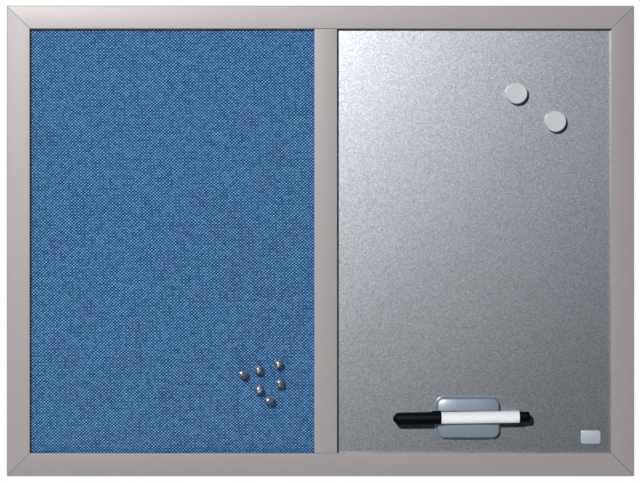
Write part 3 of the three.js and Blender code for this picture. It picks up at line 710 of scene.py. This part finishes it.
def magnet(index):
    """A moulded cap with a rounded edge and a barely dished face, open at its foot for the ferrite disc."""
    cap, core = f"magnet_{index}_cap", f"magnet_{index}_core"
    matrix, height = line_of(cap, Vector((0, -1, 0)))
    radius = widest(cap, matrix)
    bore = widest(core, matrix) + MAGNET_CORE_CLEARANCE
    ceiling = span_of(core, matrix)[1] + MAGNET_CORE_CLEARANCE
    shoulder = (radius - MAGNET_EDGE, height - MAGNET_EDGE)
    foot = (radius - MAGNET_FOOT_EDGE, MAGNET_FOOT_EDGE)
    profile = [
        (0, ceiling),
        (bore, ceiling),
        (bore, 0),
        *arc(foot, MAGNET_FOOT_EDGE, -90, 0),
        *arc(shoulder, MAGNET_EDGE, 0, 90),
        (radius - 2 * MAGNET_EDGE, height - MAGNET_FACE_DISH / 2),
        (radius / 2, height - MAGNET_FACE_DISH),
        (0, height - MAGNET_FACE_DISH),
    ]
    points, faces = turned(profile, matrix, LATHE_STEPS)
    mesh_piece(f"magnet_{index}_moulded_cap", points, faces, "magnet_plastic", f"magnet_{index}", [cap])


def push_pin(index):
    """A clear spool-shaped head, moulded round its needle."""
    head, needle = f"push_pin_{index}_head", f"push_pin_{index}_needle"
    axis = AXIS_OF[f"push_pin_{index}"]
    matrix, height = line_of(head, axis)
    flange = widest(head, matrix)
    cap = flange - PIN_HEAD_STEP
    waist_middle = (PIN_WAIST_LOW + PIN_WAIST_HIGH) / 2
    waist_half = (PIN_WAIST_HIGH - PIN_WAIST_LOW) / 2
    waist = []
    for share in np.linspace(-1, 1, 2 * ARC_STEPS + 1):
        flare = PIN_WAIST_FLARE_HIGH if share > 0 else PIN_WAIST_FLARE_LOW
        radius = PIN_WAIST_RADIUS + flare * abs(share) ** PIN_WAIST_FLARE_POWER
        waist.append((radius, waist_middle + share * waist_half))
    crown = [
        (radius, height - PIN_CROWN * (radius / (cap - PIN_HEAD_EDGE)) ** 2)
        for radius in np.linspace(cap - PIN_HEAD_EDGE, 0, ARC_STEPS // 2 + 1)
    ]
    head_foot = (cap - PIN_HEAD_EDGE, PIN_HEAD_FOOT + PIN_HEAD_EDGE)
    head_top = (cap - PIN_HEAD_EDGE, height - PIN_CROWN - PIN_HEAD_EDGE)
    profile = [
        (0, 0),
        (flange - PIN_FLANGE_EDGE, 0),
        *arc((flange - PIN_FLANGE_EDGE, PIN_FLANGE_EDGE), PIN_FLANGE_EDGE, *PIN_FLANGE_ARC),
        *waist,
        (cap - 2 * PIN_HEAD_EDGE / 3, PIN_HEAD_FOOT - PIN_HEAD_UNDERSIDE),
        *arc(head_foot, PIN_HEAD_EDGE, *PIN_HEAD_FOOT_ARC, ARC_STEPS // 2),
        *arc(head_top, PIN_HEAD_EDGE, *PIN_HEAD_TOP_ARC),
        *crown[1:],
    ]
    points, faces = turned(profile, matrix, SMALL_LATHE_STEPS)
    body = f"push_pin_{index}"
    mesh_piece(f"push_pin_{index}_clear_head", points, faces, "clear_plastic", body, [head])
    matrix, length = line_of(needle, axis)
    radius = widest(needle, matrix)
    taper = [
        (radius * math.sin(math.radians(90 * share)), PIN_NEEDLE_POINT * share)
        for share in np.linspace(0, 1, ARC_STEPS)
    ]
    profile = [*taper, (radius, length - radius / 2), (radius / 2, length), (0, length)]
    points, faces = turned(profile, matrix, SMALL_LATHE_STEPS)
    mesh_piece(f"push_pin_{index}_ground_needle", points, faces, "needle_steel", body, [needle])


MARKER_AXIS = -AXIS_OF["marker_cap"]
MARKER_LINE, _ = line_of("marker_barrel", MARKER_AXIS)


def marker_cap():
    """The cap: tapered to a stepped cone, with a groove round its mouth and one nub against rolling."""
    start, end = span_of("marker_cap", MARKER_LINE)
    length = end - start
    step = (CAP_TIP_RADIUS + CAP_END_RADIUS) / 2
    groove = length - CAP_GROOVE_SETBACK
    inner_end = CAP_TIP_LENGTH + CAP_WALL

    def taper(height):
        """The cap's outer radius at a height above its tip."""
        share = (height - CAP_TIP_LENGTH) / (length - CAP_TIP_LENGTH)
        return CAP_END_RADIUS + (CAP_MOUTH_RADIUS - CAP_END_RADIUS) * share

    profile = [
        (0, 0),
        (CAP_TIP_RADIUS - CAP_MOUTH_EDGE, 0),
        (CAP_TIP_RADIUS, CAP_MOUTH_EDGE),
        (step, CAP_TIP_LENGTH / 2),
        (step + CAP_TIP_STEP - CAP_MOUTH_EDGE / 2, CAP_TIP_LENGTH / 2),
        (step + CAP_TIP_STEP, CAP_TIP_LENGTH / 2 + CAP_MOUTH_EDGE / 2),
        (CAP_END_RADIUS - CAP_MOUTH_EDGE / 2, CAP_TIP_LENGTH - CAP_MOUTH_EDGE / 2),
        (taper(CAP_TIP_LENGTH + CAP_MOUTH_EDGE), CAP_TIP_LENGTH + CAP_MOUTH_EDGE),
        (taper(groove - CAP_GROOVE_WIDTH), groove - CAP_GROOVE_WIDTH),
        (taper(groove) - CAP_GROOVE_DEPTH, groove - CAP_GROOVE_WIDTH / 2),
        (taper(groove) - CAP_GROOVE_DEPTH, groove + CAP_GROOVE_WIDTH / 2),
        (taper(groove + CAP_GROOVE_WIDTH), groove + CAP_GROOVE_WIDTH),
        *arc((CAP_MOUTH_RADIUS - CAP_MOUTH_EDGE, length - CAP_MOUTH_EDGE), CAP_MOUTH_EDGE, 0, 90),
        (CAP_BORE_RADIUS, length),
        (CAP_BORE_RADIUS, length - CAP_BORE_LENGTH),
        (CAP_END_RADIUS - CAP_WALL, inner_end),
        (0, inner_end),
    ]
    matrix = MARKER_LINE @ Matrix.Translation((0, 0, start * MM))
    points, faces = turned(profile, matrix, LATHE_STEPS)
    cap = mesh_piece("marker_moulded_cap", points, faces, "black_plastic", "marker_cap", ["marker_cap"])
    add_nub(cap, matrix, length)


def add_nub(cap, matrix, length):
    """Joins the rounded nub to the cap's upper side, near its mouth."""
    work = bmesh.new()
    bmesh.ops.create_cube(work, size=1)
    foot = CAP_MOUTH_RADIUS - CAP_WALL
    rise = CAP_NUB_RISE + CAP_WALL
    upwards = (matrix.to_3x3().inverted() @ Vector((0, 0, 1))).normalized()
    sideways = Vector((0, 0, 1)).cross(upwards)
    turn = Matrix((upwards, sideways, Vector((0, 0, 1)))).transposed().to_4x4()
    middle = Matrix.Translation(Vector((foot + rise / 2, 0, length - CAP_NUB_LENGTH / 2 - CAP_WALL / 2)) * MM)
    size = Matrix.Diagonal(Vector((rise, CAP_NUB_WIDTH, CAP_NUB_LENGTH - CAP_WALL)) * MM).to_4x4()
    work.transform(matrix @ turn @ middle @ size)
    bmesh.ops.bevel(
        work,
        geom=work.edges[:],
        offset=CAP_NUB_EDGE * MM,
        segments=CAP_NUB_EDGE_STEPS,
        profile=ROUND_BEVEL,
        affect="EDGES",
    )
    data = bpy.data.meshes.new("nub")
    work.to_mesh(data)
    work.free()
    nub = bpy.data.objects.new("nub", data)
    bpy.context.scene.collection.objects.link(nub)
    join = cap.modifiers.new("nub", "BOOLEAN")
    join.operation = "UNION"
    join.solver = "EXACT"
    join.object = nub
    apply_modifiers(cap)
    bpy.data.objects.remove(nub)
    dress(cap, "black_plastic")


def apply_modifiers(piece):
    """Makes the modified mesh the piece's own."""
    depsgraph = bpy.context.evaluated_depsgraph_get()
    made = bpy.data.meshes.new_from_object(piece.evaluated_get(depsgraph))
    piece.modifiers.clear()
    piece.data = made


def marker_barrel():
    """A white tube with a neck for the cap, which two ribs hold."""
    start, end = span_of("marker_barrel", MARKER_LINE)
    radius = widest("marker_barrel", MARKER_LINE)
    length = end - start
    shoulder = NECK_LENGTH
    bore, neck_bore = radius - BARREL_WALL, NECK_RADIUS - NECK_WALL
    ribs = [
        point
        for place in NECK_RIB_PLACES
        for point in (
            (NECK_RADIUS, place),
            (NECK_RADIUS + NECK_RIB_RISE, place + NECK_RIB_WIDTH / 3),
            (NECK_RADIUS + NECK_RIB_RISE, place + 2 * NECK_RIB_WIDTH / 3),
            (NECK_RADIUS, place + NECK_RIB_WIDTH),
        )
    ]
    profile = [
        (NECK_MOUTH_RADIUS, 0),
        (NECK_RADIUS - BARREL_EDGE, 0),
        *arc((NECK_RADIUS - BARREL_EDGE, BARREL_EDGE), BARREL_EDGE, -90, 0),
        *ribs,
        (NECK_RADIUS, shoulder),
        *arc((radius - BARREL_EDGE, shoulder + BARREL_EDGE), BARREL_EDGE, -90, 0),
        *arc((radius - BARREL_EDGE, length - BARREL_EDGE), BARREL_EDGE, 0, 90),
        (bore, length),
        (bore, shoulder + NECK_WALL),
        (neck_bore, shoulder),
        (neck_bore, NECK_WALL),
        (NECK_MOUTH_RADIUS, NECK_WALL),
    ]
    matrix = MARKER_LINE @ Matrix.Translation((0, 0, start * MM))
    points, faces = turned(profile, matrix, LATHE_STEPS, ring=True)
    mesh_piece("marker_white_barrel", points, faces, "white_plastic", "marker", ["marker_barrel"])


def marker_end_plug():
    """A flanged plug whose stub has a rounded end and one groove."""
    start, end = span_of("marker_end_plug", MARKER_LINE)
    radius = widest("marker_barrel", MARKER_LINE)
    bore = radius - BARREL_WALL - PLUG_SPIGOT_CLEARANCE
    length = end - start
    collar = PLUG_SPIGOT + PLUG_COLLAR
    groove = length - PLUG_GROOVE_SETBACK
    shoulder = [
        (PLUG_END_RADIUS + (PLUG_RADIUS - PLUG_END_RADIUS) * math.cos(angle),
         length - PLUG_EDGE - PLUG_SHOULDER * (1 - math.sin(angle)))
        for angle in np.radians(np.linspace(0, PLUG_SHOULDER_TURN, ARC_STEPS + 1))
    ]
    profile = [
        (0, 0),
        (bore - BARREL_EDGE, 0),
        (bore, BARREL_EDGE),
        (bore, PLUG_SPIGOT),
        *arc((radius - BARREL_EDGE, PLUG_SPIGOT + BARREL_EDGE), BARREL_EDGE, -90, 0),
        *arc((radius - BARREL_EDGE, collar - BARREL_EDGE), BARREL_EDGE, 0, 90),
        (PLUG_RADIUS, collar),
        (PLUG_RADIUS, groove - PLUG_GROOVE_WIDTH / 2),
        (PLUG_RADIUS - PLUG_GROOVE_DEPTH, groove - PLUG_GROOVE_WIDTH / 4),
        (PLUG_RADIUS - PLUG_GROOVE_DEPTH, groove + PLUG_GROOVE_WIDTH / 4),
        (PLUG_RADIUS, groove + PLUG_GROOVE_WIDTH / 2),
        *shoulder,
        *arc((PLUG_END_RADIUS - PLUG_EDGE, length - PLUG_EDGE), PLUG_EDGE, *PLUG_END_ARC, ARC_STEPS // 2),
        (0, length),
    ]
    matrix = MARKER_LINE @ Matrix.Translation((0, 0, start * MM))
    points, faces = turned(profile, matrix, LATHE_STEPS)
    mesh_piece("marker_black_plug", points, faces, "black_plastic", "marker", ["marker_end_plug"])


HOUSING_LOW, HOUSING_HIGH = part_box("eraser_housing")
HOUSING_MIDDLE = (HOUSING_LOW + HOUSING_HIGH) / 2
HOUSING_HALF_X = (HOUSING_HIGH.x - HOUSING_LOW.x) / 2 / MM
HOUSING_HALF_Z = (HOUSING_HIGH.z - HOUSING_LOW.z) / 2 / MM
HOUSING_RISE = (PANEL_Y - HOUSING_LOW.y) / MM


def trough_widening(x):
    """How many times wider the trough is there than at its middle."""
    share = np.abs(x) / HOUSING_HALF_X
    return 1 + (TROUGH_FLARE * share**2 + TROUGH_END_ROUNDING * share**TROUGH_END_POWER) / TROUGH_RADIUS


def face_rise(x, z, drop=0.0):
    """How far the lobes' crowned face stands off the steel."""
    ends = FACE_END_DROP * (np.abs(x) / HOUSING_HALF_X) ** FACE_END_POWER
    sides = FACE_SIDE_DROP * (np.abs(z) / HOUSING_HALF_Z) ** FACE_SIDE_POWER
    return HOUSING_RISE - drop - ends - sides


def trough_half(x, radius, drop=0.0):
    """Where the trough's wall meets the face, from the trough's middle."""
    depth = TROUGH_AXIS_RISE - (HOUSING_RISE - drop)
    return math.sqrt(radius**2 - depth**2) * trough_widening(x)


def housing_rise(x, z, radius=TROUGH_RADIUS, drop=0.0):
    """The housing's surface over its plan: the lower of the face and the trough, with soft lips."""
    face = face_rise(x, z, drop)
    across = np.abs(z - TROUGH_OFFSET) / trough_widening(x)
    trough = TROUGH_AXIS_RISE - np.sqrt(radius**2 - np.clip(across, 0, radius) ** 2)
    trough = np.where(across < radius, trough, TROUGH_AXIS_RISE)
    return (face + trough - np.sqrt((face - trough) ** 2 + TROUGH_LIP_BLEND**2)) / 2


def housing_grid(inset, radius=TROUGH_RADIUS, drop=0.0):
    """Plan points of the housing, drawn in by the inset: rows run across the trough, from end to end."""
    straight_x, straight_z = HOUSING_HALF_X - HOUSING_CORNER, HOUSING_HALF_Z - HOUSING_CORNER
    corner = HOUSING_CORNER - inset
    turns = np.radians(np.linspace(90, 0, HOUSING_CORNER_STEPS + 1))
    left = [(-straight_x - corner * math.sin(a), straight_z + corner * math.cos(a)) for a in turns]
    middle = [(x, HOUSING_HALF_Z - inset) for x in np.linspace(-straight_x, straight_x, HOUSING_STATIONS)]
    right = [(-x, z) for x, z in reversed(left)]
    lip, lobe = TROUGH_NODES, TROUGH_NODES + LIP_NODES
    nodes = np.arange(lobe + LOBE_NODES + 1)

    def across(side, edge, half):
        """A row's places from the trough's middle to one side, closest together at the lip."""
        start = side * TROUGH_OFFSET
        known = [start, start + edge - LIP_HALF_WIDTH, start + edge + LIP_HALF_WIDTH, half]
        return side * np.interp(nodes, [0, lip, lobe, lobe + LOBE_NODES], known)

    rows = []
    for x, half in [*left, *middle[1:-1], *right]:
        edge = trough_half(x, radius, drop)
        z = np.concatenate([across(-1, edge, half)[:0:-1], across(1, edge, half)])
        rows.append(np.column_stack([np.full(len(z), x), z]))
    return np.array(rows)


def rim_of(grid):
    """The grid's outer points, once round."""
    return np.concatenate([grid[0], grid[1:-1, -1], grid[-1, ::-1], grid[-2:0:-1, 0]])


def housing_layers():
    """The housing's rings of (plan points, rises) between its outer face and its inner one."""
    rim = rim_of(housing_grid(HOUSING_FACE_INSET))
    crest = housing_rise(rim[:, 0], rim[:, 1])
    layers = []
    for angle in np.radians(np.linspace(0, HOUSING_WALL_LEAN, ARC_STEPS // 2 + 1))[1:]:
        inset = HOUSING_FACE_INSET - HOUSING_EDGE * math.sin(angle)
        plan = rim_of(housing_grid(inset))
        layers.append((plan, crest - HOUSING_EDGE * (1 - math.cos(angle))))
    for inset, rise in [*HOUSING_SKIRT, (0, HOUSING_FOOT_LOW)]:
        points = rim_of(housing_grid(inset))
        points[:, 0] -= HOUSING_SKIRT_SHIFT[0] * np.maximum(points[:, 0], 0) / HOUSING_HALF_X
        points[:, 1] -= HOUSING_SKIRT_SHIFT[1] * np.minimum(points[:, 1], 0) / HOUSING_HALF_Z
        layers.append((points, np.full(len(points), rise)))
    for rise in (HOUSING_FOOT_LOW, HOUSING_POCKET_HIGH):
        points = rim_of(housing_grid(HOUSING_POCKET))
        layers.append((points, np.full(len(points), rise)))
    return layers


def eraser_housing():
    """A thin glossy shell: hollow-curved walls, two crowned lobes and the round trough between them."""
    outer = housing_grid(HOUSING_FACE_INSET)
    inner_radius = TROUGH_RADIUS + HOUSING_WALL
    inner = housing_grid(HOUSING_DRAFT + HOUSING_WALL, inner_radius, HOUSING_WALL)
    rows, columns = outer.shape[:2]
    points, faces = [], []

    def add(plan, rises):
        """Adds points over the steel and gives their numbers."""
        first = len(points)
        for (x, z), rise in zip(plan, rises):
            points.append((HOUSING_MIDDLE.x + x * MM, PANEL_Y - rise * MM, HOUSING_MIDDLE.z + z * MM))
        return list(range(first, len(points)))

    def sheet(grid, rises):
        """Adds a curved surface over a grid of the plan."""
        index = np.array(add(grid.reshape(-1, 2), rises.ravel())).reshape(rows, columns)
        for i in range(rows - 1):
            for j in range(columns - 1):
                faces.append([index[i, j], index[i, j + 1], index[i + 1, j + 1], index[i + 1, j]])
        return index

    top = sheet(outer, housing_rise(outer[..., 0], outer[..., 1]))
    rings = [list(rim_of(top[..., None]).ravel())]
    for plan, rises in housing_layers():
        rings.append(add(plan, rises))
    ceiling = sheet(inner, housing_rise(inner[..., 0], inner[..., 1], inner_radius, HOUSING_WALL))
    rings.append(list(rim_of(ceiling[..., None]).ravel()))
    for low, high in zip(rings, rings[1:]):
        for i in range(len(low)):
            j = (i + 1) % len(low)
            faces.append([low[i], low[j], high[j], high[i]])
    mesh_piece("eraser_gloss_housing", points, faces, "housing_plastic", "eraser", ["eraser_housing"])


def rounded_outline(half_x, half_z, corner):
    """Plan points of a rounded rectangle, once round."""
    points = []
    for quarter, (sx, sz) in enumerate([(1, 1), (-1, 1), (-1, -1), (1, -1)]):
        for angle in np.radians(np.linspace(90 * quarter, 90 * (quarter + 1), ARC_STEPS + 1)):
            x = sx * (half_x - corner) + corner * math.cos(angle)
            z = sz * (half_z - corner) + corner * math.sin(angle)
            points.append((x, z))
    return points


def slab(name, node, corner, edge, slot, body, shrink=0.0):
    """A flat rounded plate in a node's box, its front edge rounded."""
    low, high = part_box(node)
    middle = (low + high) / 2
    half_x, half_z = (high.x - low.x) / 2 / MM - shrink, (high.z - low.z) / 2 / MM - shrink
    thickness = (high.y - low.y) / MM
    angles = np.radians(np.linspace(0, 90, ARC_STEPS // 2 + 1))
    layers = [(0, 0)] + [(edge * (1 - math.cos(a)), thickness - edge * (1 - math.sin(a))) for a in angles]
    points, faces, rings = [], [], []
    for inset, rise in layers:
        plan = rounded_outline(half_x - inset, half_z - inset, corner - inset)
        rings.append([len(points) + i for i in range(len(plan))])
        points += [(middle.x + x * MM, high.y - rise * MM, middle.z + z * MM) for x, z in plan]
    for low_ring, high_ring in zip(rings, rings[1:]):
        for i in range(len(low_ring)):
            j = (i + 1) % len(low_ring)
            faces.append([low_ring[i], low_ring[j], high_ring[j], high_ring[i]])
    faces += [rings[0], rings[-1]]
    return mesh_piece(name, points, faces, slot, body, [node])


def grid_block(low, high, cell, relief):
    """Points and faces of a box whose front is a fine grid, moved back by relief(x, z) in mm."""
    columns = max(2, round((high.x - low.x) / (cell * MM)))
    rows = max(2, round((high.z - low.z) / (cell * MM)))
    points, faces = [], []
    for side, y in enumerate((low.y, high.y)):
        for i in range(columns + 1):
            for j in range(rows + 1):
                x = low.x + (high.x - low.x) * i / columns
                z = low.z + (high.z - low.z) * j / rows
                at_edge = i in (0, columns) or j in (0, rows)
                depth = relief(x / MM, z / MM, at_edge) if side == 0 else 0
                points.append((x, y + depth * MM, z))
    count = (columns + 1) * (rows + 1)

    def index(side, i, j):
        """The number of a point on the front, side 0, or on the back."""
        return side * count + i * (rows + 1) + j

    for side in (0, 1):
        for i in range(columns):
            for j in range(rows):
                around = ((i, j), (i + 1, j), (i + 1, j + 1), (i, j + 1))
                face = [index(side, *corner) for corner in around]
                faces.append(face if side == 0 else face[::-1])
    border = [(i, 0) for i in range(columns)] + [(columns, j) for j in range(rows)]
    border += [(i, rows) for i in range(columns, 0, -1)] + [(0, j) for j in range(rows, 0, -1)]
    for (i, j), (k, m) in zip(border, border[1:] + border[:1]):
        faces.append([index(0, i, j), index(1, i, j), index(1, k, m), index(0, k, m)])
    return points, faces


def pinboard_cloth():
    """The cloth, stretched over the softboard with hardly a ripple."""
    low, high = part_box("pinboard_fabric")

    def relief(x, z, at_edge):
        """How far the cloth lies behind its box's front, in mm."""
        across = math.sin(x / CLOTH_RIPPLE_WIDTH + CLOTH_RIPPLE_SHIFT_X)
        upwards = math.sin(z / CLOTH_RIPPLE_HEIGHT + CLOTH_RIPPLE_SHIFT_Z)
        ripple = across * upwards + math.sin(z / CLOTH_SAG_HEIGHT + x / CLOTH_SAG_WIDTH)
        return CLOTH_EDGE if at_edge else CLOTH_SLACK + CLOTH_WRINKLE * ripple / 2

    points, faces = grid_block(low, high, CLOTH_CELL, relief)
    cloth = mesh_piece("pinboard_cloth", points, faces, "board_fabric", "board", ["pinboard_fabric"])


def eraser_felt():
    """A dense felt pad with a rounded edge."""
    corner = HOUSING_CORNER - HOUSING_POCKET
    felt = slab("eraser_felt_pad", "eraser_felt", corner, FELT_EDGE, "felt", "eraser", FELT_SHRINK)


def blank_badge():
    """The rounded plate at the steel sheet's lower right, left blank."""
    slab("steel_blank_badge", "blank_badge", BADGE_CORNER, BADGE_EDGE, "badge_metal", "board")


def camera():
    """The photograph's camera."""
    data = bpy.data.cameras.new("camera")
    data.sensor_width = SENSOR_WIDTH
    data.lens = SENSOR_WIDTH * CAMERA_DISTANCE / VIEW_WIDTH
    made = bpy.data.objects.new("camera", data)
    bpy.context.scene.collection.objects.link(made)
    made.location = (
        BOARD_MIDDLE.x + CAMERA_SHIFT_X,
        FRONT_Y - CAMERA_DISTANCE,
        BOARD_MIDDLE.z + CAMERA_SHIFT_Z,
    )
    made.rotation_euler = (math.radians(90), 0, 0)
    data.clip_start = CAMERA_CLIP_START
    data.clip_end = CAMERA_CLIP_END
    bpy.context.scene.camera = made


def area_light(name, place, target, size, power, colour=(1, 1, 1)):
    """A round area light that faces its target."""
    data = bpy.data.lights.new(name, "AREA")
    data.shape = "DISK"
    data.size = size
    data.energy = power
    data.color = colour
    made = bpy.data.objects.new(name, data)
    bpy.context.scene.collection.objects.link(made)
    made.location = place
    made.rotation_euler = (target - place).to_track_quat("-Z", "Y").to_euler()


def lights():
    """The key, its two fills and the pair behind, all turned to the board's middle."""
    middle = Vector((BOARD_MIDDLE.x, FRONT_Y, BOARD_MIDDLE.z))
    area_light("key", middle + KEY_DIRECTION * KEY_DISTANCE, middle, KEY_SIZE, KEY_POWER)
    area_light("fill", middle + FILL_DIRECTION * FILL_DISTANCE, middle, FILL_SIZE, FILL_POWER)
    area_light("side", middle + SIDE_DIRECTION * SIDE_DISTANCE, middle, SIDE_SIZE, SIDE_POWER, SIDE_COLOUR)
    for side in (-1, 1):
        direction = Vector((side * BACK_SIDEWAYS, 1, BACK_UPWARDS)).normalized()
        place = middle + direction * BACK_DISTANCE
        area_light(f"back_{'left' if side < 0 else 'right'}", place, middle, BACK_SIZE, BACK_POWER)


# What surrounds the board: white to the camera, dim and bluish to reflections
WORLD_SEEN = (1.0, 1.0, 1.0)
WORLD_DIFFUSE = (0.047, 0.05, 0.054)
WORLD_GLOSSY = (0.010, 0.011, 0.015)


def world():
    """A plain surround that differs for the camera, for reflections and for all other light."""
    made = bpy.data.worlds.new("studio")
    bpy.context.scene.world = made
    made.use_nodes = True
    tree = made.node_tree
    tree.nodes.clear()
    output = tree.nodes.new("ShaderNodeOutputWorld")
    path = tree.nodes.new("ShaderNodeLightPath")

    def light(colour):
        """A surround of one colour."""
        node = tree.nodes.new("ShaderNodeBackground")
        node.inputs["Color"].default_value = (*colour, 1)
        return node.outputs[0]

    def either(factor, first, second):
        """The first surround where the factor is 0, the second where it is 1."""
        node = tree.nodes.new("ShaderNodeMixShader")
        tree.links.new(factor, node.inputs[0])
        tree.links.new(first, node.inputs[1])
        tree.links.new(second, node.inputs[2])
        return node.outputs[0]

    unseen = either(path.outputs["Is Glossy Ray"], light(WORLD_DIFFUSE), light(WORLD_GLOSSY))
    tree.links.new(either(path.outputs["Is Camera Ray"], unseen, light(WORLD_SEEN)), output.inputs["Surface"])


def studio_floor():
    """A round pale floor below the board, out of the front view."""
    work = bmesh.new()
    bmesh.ops.create_circle(work, cap_ends=True, segments=LATHE_STEPS, radius=FLOOR_RADIUS)
    data = bpy.data.meshes.new("studio_floor")
    work.to_mesh(data)
    work.free()
    made = bpy.data.objects.new("studio_floor", data)
    bpy.context.scene.collection.objects.link(made)
    made.location = (0, 0, cad_low.z - FLOOR_DROP)
    made.visible_glossy = False
    finish = Finish("floor_paint", roughness=0.8)
    clouds = finish.around(finish.noise(size=900), middle=1, spread=0.02)
    finish.set("Base Color", finish.shade(FLOOR_PALE, clouds))
    data.materials.append(finish.material)


camera()
lights()
world()
studio_floor()
dress_model_nodes()
pinboard_cloth()
blank_badge()
for number in (1, 2):
    magnet(number)
for number in range(1, 7):
    push_pin(number)
eraser_housing()
eraser_felt()
marker_cap()
marker_barrel()
marker_end_plug()

bpy.context.scene.view_settings.view_transform = "Standard"
bpy.context.scene.view_settings.look = "None"
